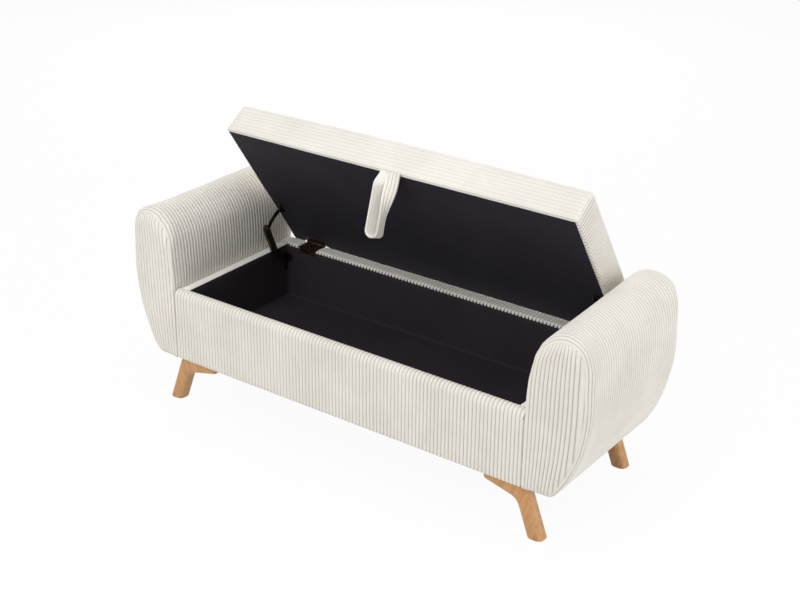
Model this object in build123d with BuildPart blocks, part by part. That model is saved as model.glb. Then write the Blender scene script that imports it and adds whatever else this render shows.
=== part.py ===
"""Storage banquette: an upholstered bench with two padded arms and a hinged seat lid over a storage well."""

import os
from math import cos, radians, sin, tan

from build123d import *

os.makedirs("parts", exist_ok=True)

# Seat box
box_width = 1000.0
box_depth = 438.0
box_height = 183.0
leg_height = 129.0
well_depth = 146.0

# Walls of the box, from the outside in
cover = 3.0
pad = 6.0
rim_pad = 3.0
board = 15.0
side_board_thick = 23.0
hinge_board_thick = 12.0
lining = 2.0
lining_drop = 1.0
floor_thick = 9.0
dust_thick = 1.2
front_round = 16.0
back_round = 10.0
side_round = 5.0
rail_width = 60.0

# Arms: the outline seen from the front, widest at the belly
arm_height = 379.0
arm_inner_round = 64.0
arm_outer_round = 66.0
arm_crown_flat = 4.0
arm_flare = 4.0
arm_belly_out = 144.0
arm_belly_up = 125.0
arm_belly_round = 411.0
arm_foot_out = 77.0
arm_foot_round = 22.0
arm_edge_round = 20.0
arm_foam_thick = 18.0
former_thick = 15.0
panel_thick = 12.0
top_rail_width = 44.0
top_rail_thick = 18.0
foam_fit = 0.3

# Arm bolts
bolt_dia = 8.0
bolt_head_dia = 18.0
bolt_head_thick = 4.0
bolt_count = 3
bolt_pitch = 130.0
bolt_up = 75.0
nut_flange_dia = 22.0
nut_flange_thick = 1.6
nut_barrel_dia = 11.0
nut_barrel_length = 9.0
bolt_fit = 0.1

# Legs
leg_thick = 37.0
leg_inset = 32.0
leg_overhang = 3.0
leg_splay = 20.3
leg_wing = 113.0
leg_tip_thick = 22.0
leg_tip_slope = 4.0
leg_crotch_drop = 43.0
leg_tip_round = 9.0
leg_crotch_round = 28.0
leg_edge_round = 14.0
glide_dia = 28.0
glide_thick = 3.0
glide_chamfer = 1.0
glide_stem_dia = 4.0
glide_stem_length = 12.0
leg_screw_count = 3
leg_screw_pitch = 24.0
leg_screw_start = 20.0
leg_screw_head_up = 12.0
leg_screw_length = 34.0
leg_screw_dia = 5.0
leg_screw_head_dia = 10.0
leg_screw_head_thick = 3.0

# Lid
lid_end_gap = 11.0
lid_thick = 86.0
lid_angle = 56.0
lid_setback = 2.0
lid_corner = 14.0
lid_top_round = 9.0
lid_under_round = 7.0
lid_crown = 5.0
lid_lining_thick = 1.2
lid_lining_corner = 10.0
hem_width = 14.0
hem_shown = 8.0

# Hinges
hinge_inset = 2.0
hinge_end_in = 92.0
hinge_width = 56.0
leaf_thick = 1.6
leaf_gap = 1.2
box_leaf_reach = 37.6
lid_leaf_reach = 24.0
leaf_drop = 16.0
knuckle_dia = 8.0
knuckle_count = 5
knuckle_gap = 0.3
hinge_pin_dia = 4.0
pin_head_dia = 6.4
pin_head_thick = 1.2
pin_fit = 0.05
hinge_screw_pitch = 18.0
hinge_lid_screw_in = 16.5

# Wood screws of the hinges and stays
screw_dia = 3.2
screw_head_dia = 6.2
screw_head_deep = 1.5
screw_length = 18.0
screw_point = 4.0
screw_fit = 0.1

# Lid stays: two arms that fold as a parallelogram with the lid and the box
stay_base_back = 46.0
stay_base_down = 36.0
stay_lid_out = 137.0
stay_lid_off = 9.0
stay_plate = 2.0
stay_channel_width = 17.0
stay_channel_deep = 8.0
stay_channel_wall = 1.6
stay_knee_back = 33.0
stay_knee_down = 81.0
stay_knee_round = 24.0
stay_wall_gap = 1.0
stay_strap_width = 11.0
stay_strap_thick = 2.5
stay_strap_bow = 4.0
stay_ear_thick = 2.4
stay_gap = 0.3
stay_pin_dia = 6.0
stay_head_dia = 10.0
stay_head_thick = 1.6
stay_plate_width = 20.0
stay_plate_height = 44.0
stay_plate_round = 7.0
stay_box_screw_start = 9.0
stay_box_screw_pitch = 13.5
stay_lid_plate_length = 34.0
stay_lid_plate_width = 15.5
stay_lid_screw_shift = 3.0
stay_lid_screw_pitch = 18.0

# Pull strap: a loop of folded corduroy, sewn along the lid's front edge
strap_x = 5.0
strap_length = 152.0
strap_width = 36.0
strap_gathered_width = 20.0
strap_thick = 5.0
strap_spread = 27.0
strap_roll_dia = 8.0
strap_roll_end = 1.5
strap_lean = 17.0
strap_forward = 14.0
strap_fit = 0.3
strap_short_turn = 36.0
strap_long_turn = 112.0
strap_sections = 6

# Heights and places that follow from them
half_width = box_width / 2
lid_width = box_width - 2 * lid_end_gap
hinge_out = half_width - hinge_end_in
leg_outer_top = half_width + leg_overhang
rim_z = leg_height + box_height
base_z = leg_height + dust_thick
floor_top = rim_z - well_depth - lining
floor_under = floor_top - floor_thick
board_top = rim_z - cover - rim_pad
hinge_z = rim_z + leaf_thick + leaf_gap / 2
open_cos = cos(radians(lid_angle))
open_sin = sin(radians(lid_angle))
lid_under = leaf_gap / 2 + leaf_thick
lid_base = lid_under + lid_lining_thick
lid_top = lid_base + lid_thick
lid_back_reach = (
    (hinge_inset - lid_top_round) * open_cos + (lid_top - lid_top_round) * open_sin + lid_top_round
)

# The origin is on the floor, midway between the box's front and the open lid's back
front_y = -(box_depth - hinge_inset + lid_back_reach) / 2
back_y = front_y + box_depth
hinge_y = back_y - hinge_inset
well_front = front_y + cover + pad + board
well_back = back_y - cover - pad - board - hinge_board_thick
side_out = half_width - cover
well_side = side_out - side_board_thick
stay_wall = well_side - lining
lid_depth = hinge_y - front_y - lid_setback
lid_middle = (hinge_inset - lid_depth) / 2
lid_plane = Plane(origin=(0, hinge_y, hinge_z), x_dir=(1, 0, 0), z_dir=(0, open_sin, open_cos))


def keep(part, name):
    """Label a finished piece and write it."""
    part.label = name
    export_step(part, f"parts/{name}.step")


def keep_pair(part, name):
    """Write a piece of the right side and its mirror image on the left."""
    keep(part, f"right_{name}")
    with BuildPart() as left:
        mirror(part, about=Plane.YZ)
    keep(left.part, f"left_{name}")


def slab(x_span, y_span, z_span, mode=Mode.ADD):
    """A rectangular block between pairs of limits, inside a part."""
    middle = [(span[0] + span[1]) / 2 for span in (x_span, y_span, z_span)]
    size = [span[1] - span[0] for span in (x_span, y_span, z_span)]
    with Locations(tuple(middle)):
        Box(*size, mode=mode)


def place(form, places, mode=Mode.ADD):
    """Add or cut a form at each of some places, inside a part."""
    with Locations(*places):
        add(form, mode=mode)


def lid_place(x, y, z, direction):
    """A place in the lid's own frame, pointing along its normal or against it."""
    spot = lid_plane.from_local_coords(Vector(x, y, z))
    return Plane(origin=spot, x_dir=(1, 0, 0), z_dir=lid_plane.z_dir * direction)


def wood_screw(fit=0.0):
    """A countersunk screw along +Z with its head flush at the origin, or the hole that it needs."""
    shank = screw_dia / 2 + fit
    head = screw_head_dia / 2 + fit
    with BuildPart() as screw:
        with BuildSketch(Plane.XZ):
            with BuildLine():
                Polyline(
                    (0, 0),
                    (head, 0),
                    (shank, screw_head_deep + fit),
                    (shank, screw_length - screw_point),
                    (0, screw_length + fit),
                    close=True,
                )
            make_face()
        revolve(axis=Axis.Z)
    return screw.part


screw_form = wood_screw()
screw_hole = wood_screw(screw_fit)

# Places of the hinge and stay fasteners, on the right side
hinge_screw_in = hinge_y - well_back - hinge_board_thick / 2
hinge_screw_x = [hinge_out + i * hinge_screw_pitch for i in (-1, 0, 1)]
hinge_box_places = [
    Plane(origin=(x, hinge_y - hinge_screw_in, rim_z + leaf_thick), z_dir=(0, 0, -1))
    for x in hinge_screw_x
]
hinge_lid_places = [lid_place(x, -hinge_lid_screw_in, leaf_gap / 2, 1) for x in hinge_screw_x]
stay_base = Vector(0, hinge_y - stay_base_back, hinge_z - stay_base_down)
stay_lid = lid_plane.from_local_coords(Vector(0, -stay_lid_out, -stay_lid_off))
stay_elbow = stay_lid + Vector(0, -stay_base_back, -stay_base_down)
stay_plate_x = stay_wall - stay_plate
channel_x = stay_plate_x - stay_wall_gap - stay_channel_deep
strap_arm_x = channel_x - stay_gap - stay_strap_thick
ear_x = strap_arm_x - stay_gap - stay_ear_thick
stay_box_places = [
    Plane(origin=(stay_plate_x, stay_base.Y, stay_base.Z + shift), x_dir=(0, 1, 0), z_dir=(1, 0, 0))
    for shift in (-stay_box_screw_start - stay_box_screw_pitch, -stay_box_screw_start)
]
stay_lid_places = [
    lid_place(ear_x + (stay_lid_plate_width + stay_ear_thick) / 2, y, lid_under - stay_plate, 1)
    for y in (
        -stay_lid_out + stay_lid_screw_shift - stay_lid_screw_pitch / 2,
        -stay_lid_out + stay_lid_screw_shift + stay_lid_screw_pitch / 2,
    )
]


def both_sides(places):
    """Places on the right side with their mirror images on the left."""
    left = [
        Plane(origin=(-p.origin.X, p.origin.Y, p.origin.Z), x_dir=p.x_dir,
              z_dir=(-p.z_dir.X, p.z_dir.Y, p.z_dir.Z))
        for p in places
    ]
    return places + left


# Arm bolts run across the box, from inside the well into the arm
box_middle = (well_front + well_back) / 2
bolt_y = [box_middle + (i - (bolt_count - 1) / 2) * bolt_pitch for i in range(bolt_count)]
bolt_z = leg_height + bolt_up
bolt_places = [Plane(origin=(well_side, y, bolt_z), x_dir=(0, 1, 0), z_dir=(1, 0, 0)) for y in bolt_y]
panel_x = half_width + cover + arm_foam_thick
bolt_length = panel_x + panel_thick - well_side


def bolt_cut():
    """The clearance hole of the arm bolts, inside a part of the right side."""
    with Locations(*bolt_places):
        Cylinder(
            bolt_dia / 2 + bolt_fit,
            bolt_length + panel_thick,
            align=(Align.CENTER, Align.CENTER, Align.MIN),
            mode=Mode.SUBTRACT,
        )


# Box boards
with BuildPart() as front_board:
    slab((-side_out, side_out), (front_y + cover + pad, well_front), (base_z, board_top))
keep(front_board.part, "front_board")

with BuildPart() as back_board:
    slab((-side_out, side_out), (well_back + hinge_board_thick, back_y - cover - pad), (base_z, board_top))
keep(back_board.part, "back_board")

with BuildPart() as hinge_board:
    slab((-side_out, side_out), (well_back, well_back + hinge_board_thick), (floor_under, board_top))
    place(screw_hole, both_sides(hinge_box_places), Mode.SUBTRACT)
keep(hinge_board.part, "hinge_board")

with BuildPart() as side_board:
    slab((well_side, side_out), (well_front, well_back), (base_z, rim_z - cover))
    with Locations(*bolt_places):
        Cylinder(
            bolt_head_dia / 2 + bolt_fit,
            bolt_head_thick,
            align=(Align.CENTER, Align.CENTER, Align.MIN),
            mode=Mode.SUBTRACT,
        )
    bolt_cut()
    place(screw_hole, stay_box_places, Mode.SUBTRACT)
keep_pair(side_board.part, "side_board")

with BuildPart() as floor_board:
    slab((-well_side, well_side), (well_front, well_back), (floor_under, floor_top))
keep(floor_board.part, "floor_board")

# Legs: a splayed post with a wing that is screwed to the base rails
leg_slope = tan(radians(leg_splay))
leg_width = leg_thick / cos(radians(leg_splay))
leg_y = front_y + leg_inset
wing_tip_x = leg_outer_top - leg_wing
leg_screw_x = [wing_tip_x + leg_screw_start + i * leg_screw_pitch for i in range(leg_screw_count)]
leg_screw_z = leg_height - leg_screw_head_up
glide_x = leg_outer_top + leg_slope * (leg_height - glide_thick) - leg_width / 2
box_mirror = Plane.XZ.offset(-(front_y + back_y) / 2)


def all_corners(part):
    """A piece of the front right corner with its images at the other three."""
    with BuildPart() as corners:
        add(part)
        mirror(about=Plane.YZ)
        mirror(about=box_mirror)
    return corners.part


with BuildPart() as corner_leg:
    with BuildSketch(Plane.XZ.offset(-(leg_y + leg_thick / 2))):
        foot_x = leg_outer_top + leg_slope * (leg_height - glide_thick)
        crotch_x = leg_outer_top + leg_slope * leg_crotch_drop - leg_width
        with BuildLine():
            FilletPolyline(
                (wing_tip_x, leg_height),
                (wing_tip_x + leg_tip_slope, leg_height - leg_tip_thick),
                (crotch_x, leg_height - leg_crotch_drop),
                (foot_x - leg_width, glide_thick),
                (foot_x, glide_thick),
                (leg_outer_top, leg_height),
                radius=(0, leg_tip_round, leg_crotch_round, 0, 0, 0),
                close=True,
            )
        make_face()
    extrude(amount=leg_thick)
    long_edges = (
        corner_leg.edges().group_by(Axis.Y)[0] + corner_leg.edges().group_by(Axis.Y)[-1]
    ).filter_by(lambda e: glide_thick + 1 < e.center().Z < leg_height - 1)
    fillet(long_edges, leg_edge_round)
    with Locations(*[(x, leg_y, leg_screw_z) for x in leg_screw_x]):
        Cylinder(leg_screw_dia / 2 + screw_fit, leg_height, mode=Mode.SUBTRACT)
        Cylinder(
            leg_screw_head_dia / 2 + screw_fit,
            leg_height,
            align=(Align.CENTER, Align.CENTER, Align.MAX),
            mode=Mode.SUBTRACT,
        )
    with Locations((glide_x, leg_y, glide_thick)):
        Cylinder(glide_stem_dia / 2 + screw_fit, 2 * glide_stem_length, mode=Mode.SUBTRACT)
keep_pair(corner_leg.part, "front_leg")
with BuildPart() as rear_leg:
    mirror(corner_leg.part, about=box_mirror)
keep_pair(rear_leg.part, "back_leg")

with BuildPart() as corner_glide:
    with Locations((glide_x, leg_y, 0)):
        Cylinder(glide_dia / 2, glide_thick, align=(Align.CENTER, Align.CENTER, Align.MIN))
    chamfer(corner_glide.edges().group_by(Axis.Z)[0], glide_chamfer)
    with Locations((glide_x, leg_y, glide_thick)):
        Cylinder(
            glide_stem_dia / 2,
            glide_stem_length - screw_fit,
            align=(Align.CENTER, Align.CENTER, Align.MIN),
        )
keep(all_corners(corner_glide.part), "leg_glides")

with BuildPart() as corner_screws:
    with Locations(*[(x, leg_y, leg_screw_z) for x in leg_screw_x]):
        Cylinder(
            leg_screw_dia / 2, leg_screw_length, align=(Align.CENTER, Align.CENTER, Align.MIN)
        )
        Cylinder(
            leg_screw_head_dia / 2,
            leg_screw_head_thick,
            align=(Align.CENTER, Align.CENTER, Align.MAX),
        )
keep(all_corners(corner_screws.part), "leg_screws")

with BuildPart() as corner_pilots:
    with Locations(*[(x, leg_y, leg_screw_z) for x in leg_screw_x]):
        Cylinder(
            leg_screw_dia / 2 + screw_fit,
            leg_screw_length + screw_fit,
            align=(Align.CENTER, Align.CENTER, Align.MIN),
        )
leg_pilots = all_corners(corner_pilots.part)

# Base rails under the floor and the cloth that closes the underside
for rail_name, rail_y in (
    ("front_base_rail", (well_front, well_front + rail_width)),
    ("back_base_rail", (well_back - rail_width, well_back + hinge_board_thick)),
):
    with BuildPart() as long_rail:
        slab((-well_side, well_side), rail_y, (base_z, floor_under))
        add(leg_pilots, mode=Mode.SUBTRACT)
    keep(long_rail.part, rail_name)

with BuildPart() as end_rails:
    slab(
        (well_side - rail_width, well_side),
        (well_front + rail_width, well_back - rail_width),
        (base_z, floor_under),
    )
    mirror(about=Plane.YZ)
keep(end_rails.part, "end_base_rails")

with BuildPart() as dust_cover:
    slab((-side_out, side_out), (front_y + cover, back_y - cover), (leg_height, base_z))
    add(leg_pilots, mode=Mode.SUBTRACT)
keep(dust_cover.part, "dust_cover")

# Lining of the storage well
with BuildPart() as well_lining:
    slab((-well_side, well_side), (well_front, well_back), (floor_top, rim_z - lining_drop))
    slab(
        (-stay_wall, stay_wall),
        (well_front + lining, well_back - lining),
        (floor_top + lining, rim_z),
        Mode.SUBTRACT,
    )
    place(screw_hole, both_sides(stay_box_places), Mode.SUBTRACT)
keep(well_lining.part, "well_lining")


# Padded front and back walls
def wall_outline(outer_y, inner_y, low_z, top_z, radius, mode=Mode.ADD):
    """The section of a wall with its outer top edge rounded, inside a sketch."""
    with BuildLine() as section:
        FilletPolyline((outer_y, low_z), (outer_y, top_z), (inner_y, top_z), radius=radius)
        Polyline((inner_y, top_z), (inner_y, low_z), (outer_y, low_z))
    make_face(section.edges(), mode=mode)


with BuildPart() as front_cover:
    with BuildSketch(Plane.YZ.offset(-half_width)):
        wall_outline(front_y, well_front, leg_height, rim_z, front_round)
        wall_outline(
            front_y + cover, well_front, leg_height, rim_z - cover, front_round - cover, Mode.SUBTRACT
        )
    extrude(amount=box_width)
keep(front_cover.part, "front_cover")

with BuildPart() as front_pad:
    with BuildSketch(Plane.YZ.offset(-side_out)):
        wall_outline(front_y + cover, well_front, base_z, rim_z - cover, front_round - cover)
        wall_outline(front_y + cover + pad, well_front, base_z, board_top, 0, Mode.SUBTRACT)
    extrude(amount=2 * side_out)
keep(front_pad.part, "front_pad")

with BuildPart() as back_cover:
    with BuildSketch(Plane.YZ.offset(-half_width)):
        wall_outline(back_y, well_back, leg_height, rim_z, back_round)
        wall_outline(
            back_y - cover, well_back, leg_height, rim_z - cover, back_round - cover, Mode.SUBTRACT
        )
    extrude(amount=box_width)
    place(screw_hole, both_sides(hinge_box_places), Mode.SUBTRACT)
keep(back_cover.part, "back_cover")

with BuildPart() as back_pad:
    with BuildSketch(Plane.YZ.offset(-side_out)):
        wall_outline(back_y - cover, well_back, base_z, rim_z - cover, back_round - cover)
        wall_outline(back_y - cover - pad, well_back, base_z, board_top, 0, Mode.SUBTRACT)
    extrude(amount=2 * side_out)
    place(screw_hole, both_sides(hinge_box_places), Mode.SUBTRACT)
keep(back_pad.part, "back_pad")

with BuildPart() as side_cover:
    with BuildSketch(Plane.XZ.offset(-well_back)):
        wall_outline(half_width, well_side, leg_height, rim_z, side_round)
        wall_outline(
            side_out, well_side, leg_height, rim_z - cover, 0, Mode.SUBTRACT
        )
    extrude(amount=well_back - well_front)
    bolt_cut()
keep_pair(side_cover.part, "side_cover")

# Arms
arm_top = leg_height + arm_height
flare_turn = tan(radians(90 - arm_flare) / 2)
shoulder_x = half_width + arm_inner_round + arm_crown_flat + arm_outer_round * flare_turn


def arm_outline(inset):
    """The arm seen from the front, drawn in by an inset, inside a sketch."""
    with BuildLine() as outline:
        FilletPolyline(
            (half_width, leg_height),
            (half_width, arm_top),
            (shoulder_x, arm_top),
            (half_width + arm_belly_out, leg_height + arm_belly_up),
            (half_width + arm_foot_out, leg_height),
            radius=(0, arm_inner_round, arm_outer_round, arm_belly_round, arm_foot_round),
            close=True,
        )
    make_face(outline.edges())
    if inset:
        offset(amount=-inset)


def arm_block(inset):
    """The padded arm as a solid, drawn in by an inset."""
    with BuildPart() as block:
        with BuildSketch(Plane.XZ.offset(inset - back_y)):
            arm_outline(inset)
        extrude(amount=box_depth - 2 * inset)
        rims = block.faces().sort_by(Axis.Y)[0].edges() + block.faces().sort_by(Axis.Y)[-1].edges()
        fillet(rims, arm_edge_round - inset)
    return block.part


arm_core_inset = cover + arm_foam_thick
core_front = front_y + arm_core_inset
core_back = back_y - arm_core_inset
arm_core = arm_block(cover)

with BuildPart() as arm_cover:
    add(arm_block(0))
    add(arm_core, mode=Mode.SUBTRACT)
    bolt_cut()
keep_pair(arm_cover.part, "arm_cover")

with BuildPart() as arm_foam:
    add(arm_core)
    with BuildSketch(Plane.XZ.offset(-core_back)):
        arm_outline(arm_core_inset)
    extrude(amount=core_back - core_front, mode=Mode.SUBTRACT)
    bolt_cut()
keep_pair(arm_foam.part, "arm_foam")

panel_top = arm_top - arm_inner_round
with BuildPart() as arm_panel:
    slab(
        (panel_x, panel_x + panel_thick),
        (core_front, core_back),
        (leg_height + arm_core_inset, panel_top),
    )
    with Locations(*bolt_places):
        Cylinder(
            nut_barrel_dia / 2 + bolt_fit,
            2 * bolt_length,
            align=(Align.CENTER, Align.CENTER, Align.MIN),
            mode=Mode.SUBTRACT,
        )
keep_pair(arm_panel.part, "arm_inner_panel")

rail_x = (panel_x + panel_thick, panel_x + panel_thick + top_rail_width)
rail_z = (panel_top - top_rail_thick, panel_top)
with BuildPart() as arm_formers:
    for former_back in (core_back, core_front + former_thick):
        with BuildSketch(Plane.XZ.offset(-former_back)):
            arm_outline(arm_core_inset + foam_fit)
        extrude(amount=former_thick)
    slab(
        (panel_x - foam_fit, panel_x + panel_thick),
        (core_front, core_back),
        (leg_height, panel_top),
        Mode.SUBTRACT,
    )
keep_pair(arm_formers.part, "arm_formers")

with BuildPart() as arm_rail:
    slab(rail_x, (core_front + former_thick, core_back - former_thick), rail_z)
keep_pair(arm_rail.part, "arm_top_rail")

with BuildPart() as arm_bolts:
    with Locations(*bolt_places):
        Cylinder(bolt_dia / 2, bolt_length, align=(Align.CENTER, Align.CENTER, Align.MIN))
        Cylinder(bolt_head_dia / 2, bolt_head_thick, align=(Align.CENTER, Align.CENTER, Align.MIN))
    mirror(about=Plane.YZ)
keep(arm_bolts.part, "arm_bolts")

nut_places = [
    Plane(origin=(panel_x + panel_thick, y, bolt_z), x_dir=(0, 1, 0), z_dir=(1, 0, 0)) for y in bolt_y
]
with BuildPart() as arm_nuts:
    with Locations(*nut_places):
        Cylinder(nut_flange_dia / 2, nut_flange_thick, align=(Align.CENTER, Align.CENTER, Align.MIN))
        Cylinder(nut_barrel_dia / 2, nut_barrel_length, align=(Align.CENTER, Align.CENTER, Align.MAX))
        Cylinder(bolt_dia / 2 + bolt_fit, 2 * bolt_length, mode=Mode.SUBTRACT)
    mirror(about=Plane.YZ)
keep(arm_nuts.part, "arm_tee_nuts")


# Lid, drawn in its own frame on the open hinge
lid_dome = ((lid_width / 2) ** 2 + (lid_depth / 2) ** 2 + lid_crown**2) / (2 * lid_crown)


def lid_block(inset):
    """The upholstered lid as a solid with a crowned top, drawn in by an inset."""
    with BuildPart(lid_plane) as block:
        with BuildSketch(lid_plane.offset(lid_base + inset)):
            with Locations((0, lid_middle)):
                RectangleRounded(
                    lid_width - 2 * inset, lid_depth + hinge_inset - 2 * inset, lid_corner - inset
                )
        extrude(amount=lid_thick + lid_crown)
        with Locations((0, lid_middle, lid_top - lid_dome)):
            Sphere(lid_dome - inset, rotation=(90, 0, 0), mode=Mode.INTERSECT)
        top = block.faces().sort_by(Axis(lid_plane.origin, lid_plane.z_dir))[-1]
        fillet(top.edges(), lid_top_round - inset)
        bottom = block.faces().sort_by(Axis(lid_plane.origin, lid_plane.z_dir))[0]
        fillet(bottom.edges(), lid_under_round - inset)
    return block.part


lid_core = lid_block(cover)
lid_split = lid_plane.offset(lid_base + cover + board)
stay_lid_both = both_sides(stay_lid_places)
hinge_lid_both = both_sides(hinge_lid_places)

with BuildPart() as lid_board:
    add(lid_core)
    split(bisect_by=lid_split, keep=Keep.BOTTOM)
    place(screw_hole, stay_lid_both + hinge_lid_both, Mode.SUBTRACT)
keep(lid_board.part, "lid_board")

with BuildPart() as lid_foam:
    add(lid_core)
    split(bisect_by=lid_split, keep=Keep.TOP)
keep(lid_foam.part, "lid_foam")

with BuildPart(lid_plane) as lid_cover:
    with Locations(lid_plane.location.inverse()):
        add(lid_block(0))
        add(lid_core, mode=Mode.SUBTRACT)
    slab(
        (-lid_width / 2 + hem_width, lid_width / 2 - hem_width),
        (-lid_depth + hem_width, hinge_inset - hem_width),
        (lid_base - cover, lid_base + 2 * cover),
        Mode.SUBTRACT,
    )
keep(lid_cover.part, "lid_cover")

with BuildPart() as lid_lining:
    with BuildSketch(lid_plane.offset(lid_under)):
        with Locations((0, lid_middle)):
            RectangleRounded(
                lid_width - 2 * hem_shown, lid_depth + hinge_inset - 2 * hem_shown, lid_lining_corner
            )
    extrude(amount=lid_lining_thick)
    place(screw_hole, stay_lid_both + hinge_lid_both, Mode.SUBTRACT)
keep(lid_lining.part, "lid_lining")

# Hinges: a bent leaf over the rim, a flat leaf under the lid and a headed pin
knuckle_length = hinge_width / knuckle_count
knuckle_radius = knuckle_dia / 2
pin_radius = hinge_pin_dia / 2


def knuckle_x(index):
    """Middle of a knuckle along the hinge."""
    return hinge_out - hinge_width / 2 + (index + 0.5) * knuckle_length


def hinge_leaf(plane, owned, side, reach, drop):
    """A leaf with its own knuckles, on one side of the pin, with an edge that may turn down."""
    inner = side * leaf_gap / 2
    outer = side * (leaf_gap / 2 + leaf_thick)
    span = (hinge_out - hinge_width / 2, hinge_out + hinge_width / 2)
    with BuildPart(plane) as leaf:
        slab(span, (-reach, 0), (min(inner, outer), max(inner, outer)))
        if drop:
            slab(span, (-reach, -reach + leaf_thick), (-drop + inner, inner))
        for index in range(knuckle_count):
            with Locations((knuckle_x(index), 0, 0)):
                if index in owned:
                    Cylinder(knuckle_radius, knuckle_length - knuckle_gap, rotation=(0, 90, 0))
                else:
                    Box(
                        knuckle_length + knuckle_gap,
                        2 * (knuckle_radius + knuckle_gap),
                        knuckle_dia,
                        mode=Mode.SUBTRACT,
                    )
        with Locations((hinge_out, 0, 0)):
            Cylinder(pin_radius + pin_fit, 2 * hinge_width, rotation=(0, 90, 0), mode=Mode.SUBTRACT)
    return leaf.part


box_hinge_plane = Plane(origin=(0, hinge_y, hinge_z))
with BuildPart() as box_leaf:
    add(hinge_leaf(box_hinge_plane, (0, 2, 4), -1, box_leaf_reach, leaf_drop))
    place(screw_hole, hinge_box_places, Mode.SUBTRACT)
keep_pair(box_leaf.part, "hinge_box_leaf")

with BuildPart() as lid_leaf:
    add(hinge_leaf(lid_plane, (1, 3), 1, lid_leaf_reach, 0))
    place(screw_hole, hinge_lid_places, Mode.SUBTRACT)
keep_pair(lid_leaf.part, "hinge_lid_leaf")

with BuildPart(box_hinge_plane) as hinge_pins:
    with Locations((hinge_out, 0, 0)):
        Cylinder(pin_radius, hinge_width + 2 * pin_head_thick, rotation=(0, 90, 0))
    for end in (-1, 1):
        with Locations((hinge_out + end * (hinge_width + pin_head_thick) / 2, 0, 0)):
            Cylinder(pin_head_dia / 2, pin_head_thick, rotation=(0, 90, 0))
    mirror(about=Plane.YZ)
keep(hinge_pins.part, "hinge_pins")

with BuildPart() as hinge_box_screws:
    place(screw_form, both_sides(hinge_box_places))
keep(hinge_box_screws.part, "hinge_box_screws")

with BuildPart() as hinge_lid_screws:
    place(screw_form, both_sides(hinge_lid_places))
keep(hinge_lid_screws.part, "hinge_lid_screws")


# Lid stays
def pivot(x0, x1, point, radius, mode=Mode.ADD):
    """A round pin or hole along X through a pivot, inside a part."""
    with Locations(Plane(origin=(x0, point.Y, point.Z), x_dir=(0, 1, 0), z_dir=(1, 0, 0))):
        Cylinder(radius, x1 - x0, align=(Align.CENTER, Align.CENTER, Align.MIN), mode=mode)


def bowed(start, end, bow):
    """A bowed line between two pivots, in the plane of the stay."""
    run = end - start
    side = Vector(0, run.Z, -run.Y).normalized() * bow
    middle = (start + end) * 0.5 + side
    return ThreePointArc((start.Y, start.Z), (middle.Y, middle.Z), (end.Y, end.Z))


stay_pin = stay_pin_dia / 2
stay_hole = stay_pin + pin_fit
stay_head = stay_head_dia / 2

with BuildPart() as stay_bracket:
    with BuildSketch(Plane.YZ.offset(stay_plate_x)):
        with Locations((stay_base.Y, stay_base.Z - stay_plate_height / 2 + stay_plate_width / 2)):
            RectangleRounded(stay_plate_width, stay_plate_height, stay_plate_round)
    extrude(amount=stay_plate)
    pivot(channel_x - stay_gap, stay_plate_x, stay_base, stay_pin)
    pivot(channel_x + stay_channel_wall + stay_gap, stay_plate_x, stay_base, stay_head)
    pivot(channel_x - stay_gap - stay_head_thick, channel_x - stay_gap, stay_base, stay_head)
    place(screw_hole, stay_box_places, Mode.SUBTRACT)
keep_pair(stay_bracket.part, "stay_box_bracket")

stay_knee = stay_elbow + Vector(0, stay_knee_back, -stay_knee_down)
with BuildLine() as lower_line:
    FilletPolyline(
        *[(point.Y, point.Z) for point in (stay_base, stay_knee, stay_elbow)], radius=stay_knee_round
    )
lower_path = lower_line.wires()[0]

with BuildPart() as lower_arm:
    with BuildSketch(Plane.YZ.offset(channel_x)):
        make_face(lower_path.offset_2d(stay_channel_width / 2).edges())
    extrude(amount=stay_channel_deep)
    with BuildSketch(Plane.YZ.offset(channel_x + stay_channel_wall)):
        make_face(lower_path.offset_2d(stay_channel_width / 2 - stay_channel_wall).edges())
    extrude(amount=stay_channel_deep, mode=Mode.SUBTRACT)
    for point in (stay_base, stay_elbow):
        pivot(channel_x - stay_gap, channel_x + stay_channel_deep, point, stay_hole, Mode.SUBTRACT)
keep_pair(lower_arm.part, "stay_lower_arm")

with BuildPart() as upper_arm:
    with BuildSketch(Plane.YZ.offset(strap_arm_x)):
        with BuildLine(mode=Mode.PRIVATE) as upper_path:
            bowed(stay_elbow, stay_lid, -stay_strap_bow)
        SlotArc(upper_path.edges()[0], stay_strap_width)
    extrude(amount=stay_strap_thick)
    for point in (stay_elbow, stay_lid):
        pivot(strap_arm_x - stay_gap, channel_x, point, stay_hole, Mode.SUBTRACT)
keep_pair(upper_arm.part, "stay_upper_arm")

with BuildPart() as elbow_rivet:
    rivet_head = strap_arm_x - stay_gap
    rivet_tail = channel_x + stay_channel_wall + stay_gap
    pivot(rivet_head, rivet_tail, stay_elbow, stay_pin)
    pivot(rivet_head - stay_head_thick, rivet_head, stay_elbow, stay_head)
    pivot(rivet_tail, rivet_tail + stay_head_thick, stay_elbow, stay_head)
keep_pair(elbow_rivet.part, "stay_elbow_rivet")

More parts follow.
